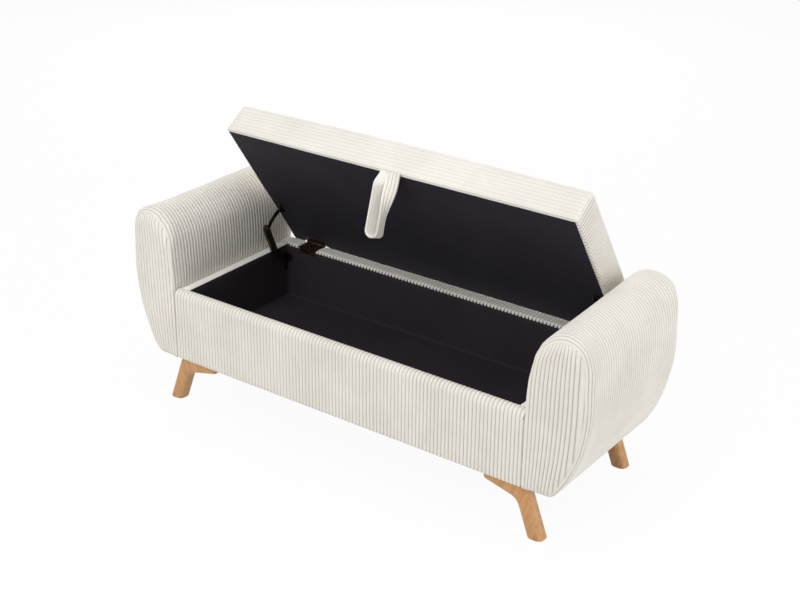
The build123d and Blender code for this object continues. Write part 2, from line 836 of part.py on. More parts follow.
with BuildPart() as lid_bracket:
    with BuildSketch(lid_plane.offset(lid_under - stay_plate)):
        with Locations((ear_x, -stay_lid_out)):
            Rectangle(
                stay_lid_plate_width, stay_lid_plate_length, align=(Align.MIN, Align.CENTER)
            )
    extrude(amount=stay_plate)
    ear_plane = Plane(origin=(ear_x, hinge_y, hinge_z), x_dir=lid_plane.y_dir, z_dir=(1, 0, 0))
    with BuildSketch(ear_plane):
        with BuildLine():
            Polyline(
                (-stay_lid_out - stay_lid_plate_length / 2, lid_under),
                (-stay_lid_out - stay_head, -stay_lid_off),
                (-stay_lid_out + stay_head, -stay_lid_off),
                (-stay_lid_out + stay_lid_plate_length / 2, lid_under),
                close=True,
            )
        make_face()
        with Locations((-stay_lid_out, -stay_lid_off)):
            Circle(stay_head)
    extrude(amount=stay_ear_thick)
    stud_end = strap_arm_x + stay_strap_thick + stay_gap / 2
    pivot(ear_x, stud_end, stay_lid, stay_pin)
    pivot(stud_end, stud_end + stay_head_thick, stay_lid, stay_head)
    place(screw_hole, stay_lid_places, Mode.SUBTRACT)
keep_pair(lid_bracket.part, "stay_lid_bracket")

with BuildPart() as stay_box_screws:
    place(screw_form, both_sides(stay_box_places))
keep(stay_box_screws.part, "stay_box_screws")

with BuildPart() as stay_lid_screws:
    place(screw_form, stay_lid_both)
keep(stay_lid_screws.part, "stay_lid_screws")

# Pull strap
strap_roll = strap_roll_dia / 2
strap_reach = (lid_under_round + strap_roll + strap_fit) * cos(radians(45))
strap_axis = lid_plane.from_local_coords(
    Vector(strap_x, -lid_depth + lid_under_round - strap_reach, lid_base + lid_under_round - strap_reach)
)
strap_down = Vector(0, -sin(radians(strap_lean)), -cos(radians(strap_lean)))
strap_front = Vector(0, -cos(radians(strap_lean)), sin(radians(strap_lean)))
strap_bend = strap_spread / 2
strap_straight = strap_length - strap_bend - strap_thick / 2


def strap_section(side, turn_end, top_width, along):
    """Where a limb's cross-section lies and how wide it is; it makes a quarter turn on its way down."""
    share = min(1.0, along / turn_end)
    ease = share * share * (3 - 2 * share)
    turn = radians(90 * ease)
    across = Vector(1, 0, 0) * cos(turn) - strap_front * sin(turn)
    spot = strap_axis + Vector(side * strap_bend, 0, 0) + strap_down * along
    spot = spot + strap_front * (strap_forward * ease)
    width = top_width + (strap_width - top_width) * ease
    return Plane(origin=spot, x_dir=across, z_dir=strap_down), width


with BuildPart() as pull_strap:
    for side, turn_end, top_width in (
        (-1, strap_short_turn, strap_gathered_width),
        (1, strap_long_turn, strap_width),
    ):
        stops = [turn_end * i / strap_sections for i in range(strap_sections + 1)]
        with BuildPart() as strap_limb:
            for along in stops + [strap_straight]:
                section_plane, section_width = strap_section(side, turn_end, top_width, along)
                with BuildSketch(section_plane):
                    Rectangle(section_width, strap_thick)
            loft(ruled=True)
    limb_end = strap_limb.faces().sort_by(Axis(strap_axis, strap_down))[-1]
    bend_axis = Axis(
        strap_axis + strap_down * strap_straight, Vector(1, 0, 0).cross(strap_down)
    )
    revolve(limb_end, axis=bend_axis, revolution_arc=180)
    roll_left = -strap_bend - strap_gathered_width / 2 - strap_roll_end
    roll_right = strap_bend + strap_width / 2 + strap_roll_end
    roll_place = strap_axis + Vector((roll_left + roll_right) / 2, 0, 0)
    with Locations(Plane(origin=roll_place, x_dir=(0, 1, 0), z_dir=(1, 0, 0))):
        Cylinder(strap_roll, roll_right - roll_left)
keep(pull_strap.part, "pull_strap")
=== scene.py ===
from math import cos, pi, radians, sin, tan

import bmesh
import bpy
import numpy as np
from mathutils import Matrix, Vector, noise
from mathutils.kdtree import KDTree


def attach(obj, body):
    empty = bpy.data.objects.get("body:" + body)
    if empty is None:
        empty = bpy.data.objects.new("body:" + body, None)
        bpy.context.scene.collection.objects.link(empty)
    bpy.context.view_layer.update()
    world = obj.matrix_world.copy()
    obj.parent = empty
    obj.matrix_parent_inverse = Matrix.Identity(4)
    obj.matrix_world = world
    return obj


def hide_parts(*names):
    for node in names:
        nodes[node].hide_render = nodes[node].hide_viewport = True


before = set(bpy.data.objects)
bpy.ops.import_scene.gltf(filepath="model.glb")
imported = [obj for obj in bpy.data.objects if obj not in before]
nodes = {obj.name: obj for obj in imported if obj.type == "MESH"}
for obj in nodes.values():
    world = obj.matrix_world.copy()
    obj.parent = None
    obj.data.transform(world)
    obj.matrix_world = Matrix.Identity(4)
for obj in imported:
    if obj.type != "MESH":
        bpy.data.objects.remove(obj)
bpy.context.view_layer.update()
scene = bpy.context.scene

# Sizes of the bench, in metres
HALF_WIDTH = 0.500
FRONT_Y = -0.25387
BACK_Y = 0.18413
BASE_Z = 0.129
RIM_Z = 0.312
WELL_FRONT = FRONT_Y + 0.024
WELL_BACK = BACK_Y - 0.036
WELL_SIDE = 0.474
ARM_TOP = 0.508
BOX_MIDDLE = (FRONT_Y + BACK_Y) / 2
HINGE_OUT = 0.408
LID_HINGE = np.array((0.0, BACK_Y - 0.002, 0.3142))
LID_ANGLE = radians(56)
LID_HALF = 0.489
LID_FRONT = -0.434
LID_BACK = 0.002
LID_UNDER = 0.0034
LID_TOP = 0.0894
LID_DOME = 28.6

# Corduroy: the depth of a groove, where points lie across a wale, and how many wales a panel has
WALE_DEEP = 0.0024
WALE_STEPS = (0.0, 0.07, 0.18, 0.34, 0.5, 0.66, 0.82, 0.93)
ARM_WALES = 45
ARM_END_WALES = 13
WALL_WALES = 102
LID_WALES = 44
LID_RISE_WALES = 8
STRAP_WALES = 4
# Painted shade: the groove colour stands in for the shade and warm bounced light in each wale's hollow;
# the crest colour is the cloth's own cream
GROOVE_SHADE_COLOUR = (0.52, 0.445, 0.35)
CREST_COLOUR = (0.885, 0.86, 0.81)
WHITE = (1, 1, 1)


# Finishes
def new_finish(name, colour, roughness, metallic=0.0):
    """A material with a Principled shader, and the means to add nodes to it."""
    finish = bpy.data.materials.new(name)
    finish.use_nodes = True
    shader = finish.node_tree.nodes["Principled BSDF"]
    shader.inputs["Base Color"].default_value = (*colour, 1)
    shader.inputs["Roughness"].default_value = roughness
    shader.inputs["Metallic"].default_value = metallic
    return finish, finish.node_tree, shader


def feed(tree, node, values):
    """Give a node's inputs their values or links."""
    for key, value in values.items():
        if isinstance(value, bpy.types.NodeSocket):
            tree.links.new(value, node.inputs[key])
        else:
            node.inputs[key].default_value = value


def add_node(tree, kind, values=None, **settings):
    """A shader node with its settings and the values or links of its inputs."""
    made = tree.nodes.new("ShaderNode" + kind)
    for key, value in settings.items():
        setattr(made, key, value)
    feed(tree, made, values or {})
    return made


def add_noise(tree, place, scale, **more):
    """The value of a noise texture over a place."""
    values = {"Vector": place, "Scale": scale, **more}
    return add_node(tree, "TexNoise", values).outputs["Fac"]


def blend(tree, share, low, high, way="MIX"):
    """Mix two colours by a share that varies over the surface."""
    mix = add_node(tree, "Mix", data_type="RGBA", blend_type=way)
    low, high = [(*colour, 1) if isinstance(colour, tuple) else colour for colour in (low, high)]
    feed(tree, mix, {0: share, 6: low, 7: high})
    return mix.outputs[2]


def add_bump(tree, shader, height, distance, strength):
    """Feed a height into the shader's normal."""
    bump = add_node(tree, "Bump", {
        "Height": height, "Distance": distance, "Strength": strength})
    feed(tree, shader, {"Normal": bump.outputs["Normal"]})


def new_group(name, inputs, outputs):
    """A shader node group with named number inputs and outputs."""
    group = bpy.data.node_groups.new(name, "ShaderNodeTree")
    for label, value in inputs:
        socket = group.interface.new_socket(label, in_out="INPUT", socket_type="NodeSocketFloat")
        socket.default_value = value
    for label in outputs:
        group.interface.new_socket(label, in_out="OUTPUT", socket_type="NodeSocketFloat")
    return group, group.nodes.new("NodeGroupInput"), group.nodes.new("NodeGroupOutput")


def use_group(tree, group, **values):
    """Place a node group with its own values, and return its outputs."""
    sockets = {key.replace("_", " "): value for key, value in values.items()}
    return add_node(tree, "Group", sockets, node_tree=group).outputs


def make_noise_group(name, *noises):
    """A node group of noise textures over the object, each with a scale of its own."""
    scales = [(f"{label} Scale", scale) for label, scale, _ in noises]
    group, entry, leave = new_group(name, scales, [label for label, _, _ in noises])
    place = add_node(group, "TexCoord").outputs["Object"]
    for label, _, more in noises:
        feed(group, leave, {label: add_noise(group, place, entry.outputs[f"{label} Scale"], **more)})
    return group


def make_grain_group():
    """Wood grain along the local X of a turned place: long fibres, pores and broad figure."""
    group, entry, leave = new_group(
        "wood_grain", (("Lean", 0.0), ("Length", 6.0), ("Across", 150.0)), ("Fibre", "Figure", "Pores"))
    parts = add_node(group, "SeparateXYZ", {0: add_node(group, "TexCoord").outputs["Object"]})
    side = add_node(group, "Math", {0: parts.outputs["X"]}, operation="ABSOLUTE")
    folded = add_node(group, "CombineXYZ", {
        "X": side.outputs[0], "Y": parts.outputs["Y"], "Z": parts.outputs["Z"]})
    turned = add_node(group, "VectorRotate", {
        "Vector": folded.outputs[0], "Angle": entry.outputs["Lean"], "Axis": (0, 1, 0)})
    across = entry.outputs["Across"]
    stretch = add_node(group, "CombineXYZ", {
        "X": entry.outputs["Length"], "Y": across, "Z": across})
    scaled = add_node(group, "VectorMath", {
        0: turned.outputs[0], 1: stretch.outputs[0]}, operation="MULTIPLY").outputs[0]
    pores = add_node(group, "TexVoronoi", {"Vector": scaled, "Scale": 4.0})
    feed(group, leave, {
        "Fibre": add_noise(group, scaled, 1.0, Detail=5, Roughness=0.6),
        "Figure": add_noise(group, scaled, 0.22, Detail=2, Distortion=0.6),
        "Pores": pores.outputs["Distance"]})
    return group


# Short pile and the slow drift of its lie, and the brushing and rubbed patches of plated steel
pile_group = make_noise_group(
    "cloth_pile",
    ("Pile", 900, {"Detail": 3, "Roughness": 0.65}), ("Drift", 9, {"Detail": 3, "Roughness": 0.5}))
wear_group = make_noise_group("rubbed_metal", ("Brush", 260, {"Detail": 4}), ("Patch", 45, {"Detail": 2}))
grain_group = make_grain_group()


def ramp(tree, value, low, high):
    """Stretch a value between two limits to 0 and 1."""
    spread = add_node(tree, "MapRange", {"Value": value, "From Min": low, "From Max": high})
    return spread.outputs["Result"]


def vary(tree, value, low, high):
    """Bring a value from 0 and 1 to two limits."""
    spread = add_node(tree, "MapRange", {"Value": value, "To Min": low, "To Max": high})
    return spread.outputs["Result"]


def make_corduroy():
    """Cream corduroy with painted shade: each wale's groove is painted warmer and darker than its crest.
    """
    finish, tree, shader = new_finish("cream_corduroy", (0.80, 0.765, 0.70), 0.9)
    crest = add_node(tree, "Attribute", attribute_name="wale").outputs["Fac"]
    pile = use_group(tree, pile_group, Pile_Scale=1100, Drift_Scale=8)
    # Painted shade in the grooves, set by each point's wale height
    groove_shaded = blend(tree, ramp(tree, crest, 0.0, 0.75), GROOVE_SHADE_COLOUR, CREST_COLOUR)
    drift = ramp(tree, pile["Drift"], 0.35, 0.65)
    brushed = blend(tree, drift, (0.93, 0.925, 0.91), WHITE)
    lit = blend(tree, 1.0, groove_shaded, brushed, "MULTIPLY")
    flecks = ramp(tree, pile["Pile"], 0.3, 0.7)
    flecked = blend(tree, flecks, (0.90, 0.89, 0.87), WHITE)
    feed(tree, shader, {
        "Base Color": blend(tree, 1.0, lit, flecked, "MULTIPLY"),
        "Sheen Weight": 0.25, "Sheen Roughness": 0.45, "Specular IOR Level": 0.2})
    add_bump(tree, shader, pile["Pile"], 0.0005, 0.5)
    return finish


def make_lining(name, low, high):
    """Black lining cloth with the fine dimples of its bonding."""
    finish, tree, shader = new_finish(name, low, 0.8)
    pile = use_group(tree, pile_group, Pile_Scale=700, Drift_Scale=6)
    place = add_node(tree, "TexCoord").outputs["Object"]
    dimple = add_node(tree, "TexVoronoi", {"Vector": place, "Scale": 420, "Randomness": 0.2})
    feed(tree, shader, {
        "Base Color": blend(tree, ramp(tree, pile["Drift"], 0.3, 0.7), low, high),
        "Roughness": vary(tree, pile["Pile"], 0.62, 0.85),
        "Specular IOR Level": 0.22})
    add_bump(tree, shader, dimple.outputs["Distance"], 0.0004, 0.5)
    return finish


def make_wood(name, dark, pale, lean, length, across, roughness):
    """Wood with its grain along a leaning direction."""
    finish, tree, shader = new_finish(name, pale, roughness)
    grain = use_group(tree, grain_group, Lean=lean, Length=length, Across=across)
    fibre = blend(tree, ramp(tree, grain["Fibre"], 0.32, 0.68), dark, pale)
    tint = tuple(channel * share for channel, share in zip(pale, (1.12, 1.06, 0.98)))
    figure = blend(tree, ramp(tree, grain["Figure"], 0.35, 0.7), fibre, tint)
    half = blend(tree, 0.45, fibre, figure)
    pored = blend(tree, ramp(tree, grain["Pores"], 0.0, 0.16), dark, half)
    feed(tree, shader, {
        "Base Color": blend(tree, 0.35, half, pored),
        "Roughness": vary(tree, grain["Fibre"], roughness - 0.08, roughness + 0.12)})
    add_bump(tree, shader, grain["Fibre"], 0.0003, 0.35)
    return finish


def make_metal(name, dark, pale, roughness, brush, patch):
    """Plated or painted steel, rubbed in patches."""
    finish, tree, shader = new_finish(name, dark, roughness, 0.85)
    wear = use_group(tree, wear_group, Brush_Scale=brush, Patch_Scale=patch)
    feed(tree, shader, {
        "Base Color": blend(tree, ramp(tree, wear["Patch"], 0.42, 0.7), dark, pale),
        "Roughness": vary(tree, wear["Brush"], roughness - 0.1, roughness + 0.15)})
    add_bump(tree, shader, wear["Brush"], 0.0001, 0.3)
    return finish


def make_plain(name, low, high, roughness, pile_scale):
    """A matt finish with a fine grain, for moulded plastic and thread."""
    finish, tree, shader = new_finish(name, low, roughness)
    pile = use_group(tree, pile_group, Pile_Scale=pile_scale, Drift_Scale=40)
    feed(tree, shader, {
        "Base Color": blend(tree, ramp(tree, pile["Drift"], 0.3, 0.7), low, high)})
    add_bump(tree, shader, pile["Pile"], 0.0002, 0.4)
    return finish


corduroy = make_corduroy()
lid_black = make_lining("lid_lining_cloth", (0.0173, 0.0149, 0.0208), (0.0227, 0.0201, 0.0270))
well_black = make_lining("well_lining_cloth", (0.0222, 0.0161, 0.0208), (0.0278, 0.0209, 0.0264))
dust_black = make_lining("dust_cloth", (0.010, 0.010, 0.011), (0.020, 0.020, 0.022))
leg_wood = make_wood(
    "leg_wood", (0.40, 0.190, 0.070), (0.62, 0.340, 0.146), radians(70), 7.0, 190.0, 0.42)
board_wood = make_wood("raw_board", (0.42, 0.29, 0.16), (0.62, 0.46, 0.28), 0.0, 3.0, 90.0, 0.7)
bronze = make_metal("dark_bronze_steel", (0.030, 0.019, 0.015), (0.095, 0.058, 0.044), 0.40, 300, 45)
# Painted highlight: the hinge and screw finishes are lighter copies of the stays' dark bronze, standing
# in for the glints on the hinge leaves and screw heads
hinge_bronze_painted_highlight = make_metal("hinge_bronze_painted_highlight", (0.050, 0.031, 0.025), (0.170, 0.105, 0.080), 0.36, 300, 70)
screw_bronze_painted_highlight = make_metal("screw_bronze_painted_highlight", (0.16, 0.095, 0.068), (0.34, 0.215, 0.155), 0.34, 300, 60)
zinc = make_metal("zinc_steel", (0.42, 0.42, 0.42), (0.62, 0.62, 0.61), 0.34, 400, 80)
glide_black = make_plain("glide_plastic", (0.02, 0.019, 0.018), (0.035, 0.033, 0.031), 0.5, 900)
thread = make_plain("seam_thread", (0.66, 0.62, 0.55), (0.80, 0.76, 0.69), 0.75, 2200)


# Meshes of the soft pieces
def add_object(name, data):
    """Put an object with its data into the scene."""
    made = bpy.data.objects.new(name, data)
    scene.collection.objects.link(made)
    return made


def read_vectors(items, label):
    """Three numbers for each item of a mesh."""
    values = np.empty(len(items) * 3, np.float32)
    items.foreach_get(label, values)
    return values.reshape(-1, 3)


def spots(x, y, z):
    """Points from their coordinates, any of which may be one number."""
    return np.stack(np.broadcast_arrays(x, y, z), -1)


def share_of(value, reach):
    """How far a value is along a reach, from 0 to 1."""
    return np.clip(value / reach, 0, 1)


def hand_name(side):
    """The word for a side of the bench."""
    return "right" if side > 0 else "left"


def grid_faces(rows, columns, ring=False, start=0):
    """Quads of a grid of points, closed round its rows where it is a ring."""
    row = np.arange(rows if ring else rows - 1)
    r, c = np.meshgrid(row, np.arange(columns - 1), indexing="ij")
    here = r * columns + c
    below = (r + 1) % rows * columns + c
    quads = np.stack((here, here + 1, below + 1, below), -1)
    return (quads.reshape(-1, 4) + start).tolist()


def end_caps(rows, width):
    """One face over each end of a grid whose rows close into a ring."""
    return [[k * width for k in range(rows)], [k * width + width - 1 for k in range(rows)]]


def tube_faces(rings, width):
    """Quads between rings of points that follow one another."""
    return [[r * width + c, r * width + (c + 1) % width,
             (r + 1) * width + (c + 1) % width, (r + 1) * width + c]
            for r in range(rings - 1) for c in range(width)]


def rim_loop(rows, columns):
    """The outer points of a grid, in order round it."""
    return (list(range(columns)) + [r * columns + columns - 1 for r in range(1, rows)]
            + [(rows - 1) * columns + c for c in range(columns - 2, -1, -1)]
            + [r * columns for r in range(rows - 2, 0, -1)])


def slab_faces(rows, columns):
    """Faces of two like grids, one over the other, joined round their rims."""
    total = rows * columns
    rim = rim_loop(rows, columns)
    faces = grid_faces(rows, columns) + grid_faces(rows, columns, start=total)
    return faces + [[a, b, total + b, total + a] for a, b in zip(rim, rim[1:] + rim[:1])]


def flat_cloth(along, depth):
    """Places of a flat cloth, and how far each lies from its edge."""
    x, y = np.meshgrid(along, depth, indexing="ij")
    from_side = np.minimum(x - along[0], along[-1] - x)
    return x, y, from_side, np.minimum(from_side, np.minimum(y - depth[0], depth[-1] - y))


def ripples(along, depth, scale_x, scale_y, layer):
    """A field of noise over the places of a flat cloth."""
    return np.array([[noise.noise((p * scale_x, q * scale_y, layer)) for q in depth] for p in along])


def wale_lines(start, end, count):
    """Places across the wales, eight to a wale, with the height of the rib at each."""
    pitch = (end - start) / count
    steps = [(k + f) for k in range(count) for f in WALE_STEPS] + [count]
    shares = list(WALE_STEPS) * count + [0.0]
    places = start + np.array(steps) * pitch
    heights = (1 - np.abs(2 * np.array(shares) - 1) ** 2.4) ** 0.8
    return places, heights


def sew(name, points, faces, heights, amount, body, replaced=(), finish=None, swell=None):
    """Make a closed cloth piece: smooth form first, then its wales pressed in along the normals."""
    points = np.asarray(points, float).reshape(-1, 3)
    if swell is not None:
        points = swell(points)
    mesh = bpy.data.meshes.new(name)
    mesh.from_pydata(points.tolist(), [], faces)
    # The wale attribute keeps each point's rib height; the corduroy finish reads it to paint shade into
    # the grooves
    for label, values in (("wale", heights), ("press", np.asarray(amount) * (1 - np.asarray(heights)))):
        mesh.attributes.new(label, "FLOAT", "POINT").data.foreach_set(
            "value", np.asarray(values, np.float32).ravel())
    form = bmesh.new()
    form.from_mesh(mesh)
    bmesh.ops.remove_doubles(form, verts=form.verts, dist=1e-5)
    bmesh.ops.recalc_face_normals(form, faces=form.faces)
    form.normal_update()
    press = form.verts.layers.float["press"]
    moves = [(v, v.normal * v[press]) for v in form.verts]
    for v, move in moves:
        v.co -= move
    form.to_mesh(mesh)
    form.free()
    mesh.attributes.remove(mesh.attributes["press"])
    mesh.shade_smooth()
    mesh.materials.append(finish or corduroy)
    piece = add_object(name, mesh)
    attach(piece, body)
    if replaced:
        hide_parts(*replaced)
    return piece


def sew_plain(name, points, faces, body, replaced, finish=None):
    """A closed cloth piece without wales."""
    smooth = np.ones(np.asarray(points).size // 3)
    return sew(name, points, faces, smooth, smooth * 0, body, replaced, finish)


def rounded(corners, spacing):
    """A closed outline through corners with their radii, with points about evenly spaced."""
    count = len(corners)
    path = []
    for i in range(count):
        before, (corner, radius), after = corners[i - 1][0], corners[i], corners[(i + 1) % count][0]
        corner, before, after = Vector(corner), Vector(before), Vector(after)
        into, out = (corner - before).normalized(), (after - corner).normalized()
        turn = into.angle_signed(out)
        if radius < 1e-6:
            path.append(corner)
            continue
        reach = radius * tan(abs(turn) / 2)
        start = corner - into * reach
        side = Vector((into.y, -into.x)) * (1 if turn > 0 else -1)
        centre = start + side * radius
        steps = max(3, int(abs(turn) * radius / spacing) + 2)
        for k in range(steps + 1):
            spoke = start - centre
            spoke.rotate(Matrix.Rotation(-turn * k / steps, 2))
            path.append(centre + spoke)
    return respace(np.array([np.array(spot) for spot in path]), spacing)


def respace(line, spacing=None, count=None):
    """The same closed line with evenly spaced points."""
    line = np.vstack((line, line[:1]))
    gaps = np.linalg.norm(np.diff(line, axis=0), axis=1)
    line = line[np.hstack((True, gaps > 1e-9))]
    gaps = np.linalg.norm(np.diff(line, axis=0), axis=1)
    along = np.hstack((0, np.cumsum(gaps)))
    count = count or max(4, int(round(along[-1] / spacing)))
    stops = np.linspace(0, along[-1], count + 1)
    even = np.stack([np.interp(stops, along, line[:, k]) for k in range(line.shape[1])], -1)
    return even[:-1]


PUFF_FRAMES = 20


def puff(name, points, faces, held, most, voxel=0.010):
    """Blow up a closed form as cloth, held at its seams, and return the way that places on it move."""
    bpy.ops.object.select_all(action="DESELECT")
    mesh = bpy.data.meshes.new(name)
    mesh.from_pydata(np.asarray(points).tolist(), [], faces)
    form = add_object(name, mesh)
    bpy.context.view_layer.objects.active = form
    form.select_set(True)
    mesh.remesh_voxel_size = voxel
    bpy.ops.object.voxel_remesh()
    mesh = form.data
    count = len(mesh.vertices)
    rest = read_vectors(mesh.vertices, "co")
    normals = read_vectors(mesh.vertex_normals, "vector")
    pins = form.vertex_groups.new(name="held_seams")
    pins.add(np.flatnonzero(held(rest, normals)).tolist(), 1.0, "REPLACE")
    cloth = form.modifiers.new("upholstery", "CLOTH")
    settings = cloth.settings
    settings.vertex_group_mass = "held_seams"
    settings.use_pressure = True
    settings.uniform_pressure_force = 4.0
    settings.quality = 5
    settings.tension_stiffness = 20
    settings.compression_stiffness = 20
    settings.bending_stiffness = 1.0
    settings.effector_weights.gravity = 0
    cloth.point_cache.frame_end = PUFF_FRAMES
    for number in range(1, PUFF_FRAMES + 1):
        scene.frame_set(number)
    swollen = form.evaluated_get(bpy.context.evaluated_depsgraph_get()).data
    move = read_vectors(swollen.vertices, "co") - rest
    far = np.maximum(np.linalg.norm(move, axis=1, keepdims=True), 1e-9)
    move *= most * np.tanh(far / most) / far
    scene.frame_set(1)
    bpy.data.objects.remove(form)
    bpy.data.meshes.remove(mesh)
    tree = KDTree(count)
    for index, spot in enumerate(rest.tolist()):
        tree.insert(spot, index)
    tree.balance()

    def swell(places):
        """Move places as the cloth near them moved."""
        flat = np.asarray(places, float).reshape(-1, 3)
        moved = np.empty_like(flat)
        for index, spot in enumerate(flat.tolist()):
            near = tree.find_n(spot, 8)
            share = np.exp([-(away / voxel) ** 2 for _, _, away in near])
            moved[index] = share @ move[[one for _, one, _ in near]] / max(share.sum(), 1e-12)
        return flat + moved

    return swell


# Arms
ARM_FLARE = radians(4)
ARM_SAG = 0.009
ARM_IN_ROUND = 0.064
ARM_OUT_ROUND = 0.066
ARM_SPACING = 0.0075
SHOULDER_X = HALF_WIDTH + ARM_IN_ROUND + 0.004 + ARM_OUT_ROUND * tan((pi / 2 - ARM_FLARE) / 2)
arm_line = rounded((
    ((HALF_WIDTH, BASE_Z), 0.006),
    ((HALF_WIDTH, ARM_TOP), ARM_IN_ROUND),
    ((SHOULDER_X, ARM_TOP), ARM_OUT_ROUND),
    ((HALF_WIDTH + 0.144, BASE_Z + 0.125), 0.411),
    ((HALF_WIDTH + 0.070, BASE_Z - ARM_SAG), 0.026),
), ARM_SPACING)
arm_x, arm_z = arm_line.T


def line_normals(line):
    """Outward normals of a closed outline that runs clockwise."""
    run = np.roll(line, -1, 0) - np.roll(line, 1, 0)
    side = np.stack((-run[:, 1], run[:, 0]), -1)
    return side / np.linalg.norm(side, axis=1)[:, None]


arm_normals = line_normals(arm_line)
ARM_HALF_DEPTH = (BACK_Y - FRONT_Y) / 2
SEAM_TURN = radians(52)
SEAM_DEEP = 0.0026
SEAM_FADE = 0.0045
ARM_EDGE = 0.022
ARM_TIGHT_EDGE = 0.005
ARM_BACK_FILL = 0.008
ARM_FRONT_LEAN = 0.0125
ARM_FRONT_FILL = 0.012
ARM_FRONT_SPLIT = HALF_WIDTH + 0.075
ARM_FRONT_BLEND = 0.050
ARM_TUCKS = (0.004, 0.009)
ARM_SWELL = 0.0055


def arm_edge():
    """How round the arm's edge is: tight beside the box, full over the top and the outside."""
    inner = share_of(HALF_WIDTH + 0.034 - arm_x, 0.030)
    tight = inner * share_of(0.452 - arm_z, 0.060)
    beside = inner * share_of(RIM_Z + 0.020 - arm_z, 0.020)
    top = share_of(arm_z - 0.425, 0.075) ** 1.5
    outside = share_of(arm_x - HALF_WIDTH - 0.085, 0.045)
    fuller = np.maximum(0.016 * top, 0.020 * outside)
    return ARM_EDGE * (1 - tight) + ARM_TIGHT_EDGE * tight - 0.0018 * beside + fuller


arm_rounds = arm_edge()


def seam_draw(edge, away):
    """How deep the thread draws the cloth in, by the distance from an arm's seam."""
    return SEAM_DEEP * np.minimum(edge / ARM_EDGE, 1) * np.exp(-away / SEAM_FADE)


def back_fill(across):
    """How far the stuffing pushes an arm's cloth out behind."""
    return ARM_BACK_FILL * share_of(across, 0.8 * ARM_HALF_DEPTH) ** 2


front_lean = (ARM_FRONT_LEAN * share_of(ARM_FRONT_SPLIT - arm_x, ARM_FRONT_BLEND)
              * share_of(arm_z - RIM_Z, 0.150) ** 1.6)
front_fill = ARM_FRONT_FILL * share_of(arm_x - ARM_FRONT_SPLIT, ARM_FRONT_BLEND)


def front_inset(across):
    """How far an arm's cloth lies inside its outline in front: leaning in, and full outside."""
    leaning = share_of(ARM_HALF_DEPTH - across, 1.94 * ARM_HALF_DEPTH) ** 1.8
    filled = share_of(-across - 0.120, 0.085) ** 2
    return front_lean[:, None] * leaning - front_fill[:, None] * filled


def arm_held(rest, normals):
    """Where an arm's cloth can't swell: its two seams, its foot and the side against the box."""
    facing = np.abs(normals[:, 1])
    seams = (facing > 0.25) & (facing < 0.95)
    beside = (rest[:, 0] < HALF_WIDTH + 0.010) & (rest[:, 2] < RIM_Z + 0.004)
    return seams | beside | (rest[:, 2] < BASE_Z + 0.008)


def arm_puff():
    """The swell of the right arm's cloth."""
    line = respace(arm_line - arm_normals * 0.003, 0.012)
    around = len(line)
    ends = (FRONT_Y + 0.003, BACK_Y - 0.003)
    points = [(x, y, z) for y in ends for x, z in line]
    faces = tube_faces(2, around)
    faces += [list(range(around)), list(range(2 * around - 1, around - 1, -1))]
    return puff("arm_form", points, faces, arm_held, ARM_SWELL)


def mirrored_swell(swell, side):
    """The same swell on the other side of the bench."""
    flip = np.array((side, 1, 1))
    return None if swell is None else lambda places: swell(np.asarray(places) * flip) * flip


def arm_wrap(side, swell):
    """The long panel of an arm, whose wales run up the inside, over the top and down the outside."""
    places, heights = wale_lines(-1, 1, ARM_WALES)
    edge = arm_rounds[:, None]
    flat = ARM_HALF_DEPTH - edge
    reach = flat + edge * SEAM_TURN
    along = places * reach
    over = np.maximum(np.abs(along) - flat, 0) / edge
    across = np.sign(along) * (np.minimum(np.abs(along), flat) + edge * np.sin(over))
    drawn = seam_draw(edge, reach - np.abs(along))
    across = across - np.sign(along) * drawn * np.sin(over)
    inset = edge * (1 - np.cos(over)) + drawn * np.cos(over) + front_inset(across)
    for tuck in ARM_TUCKS:
        back, inward = tuck * 0.8, tuck * 0.6
        across = np.hstack((across[:, :1] + back, across, across[:, -1:] - back))
        inset = np.hstack((inset[:, :1] + inward, inset, inset[:, -1:] + inward))
        heights = np.hstack((0.0, heights, 0.0))
    around, width = across.shape
    points = spots((arm_x[:, None] - arm_normals[:, None, 0] * inset) * side,
                   BOX_MIDDLE + across + back_fill(across),
                   arm_z[:, None] - arm_normals[:, None, 1] * inset)
    faces = grid_faces(around, width, ring=True) + end_caps(around, width)
    pressed = np.full((around, 1), WALE_DEEP * 0.8)
    pressed[arm_normals[:, 1] < -0.9] *= 0.3
    ribs = np.tile(heights, (around, 1))
    hand = hand_name(side)
    piece = sew(f"{hand}_arm_wrap", points, faces, ribs, np.broadcast_to(pressed, ribs.shape), "bench",
                (f"{hand}_arm_cover", f"{hand}_arm_foam"), swell=swell)


END_LEVELS = 800
END_ROWS = 60
END_BOW = 0.45
END_TUCK = 0.006
FAR = 9.0


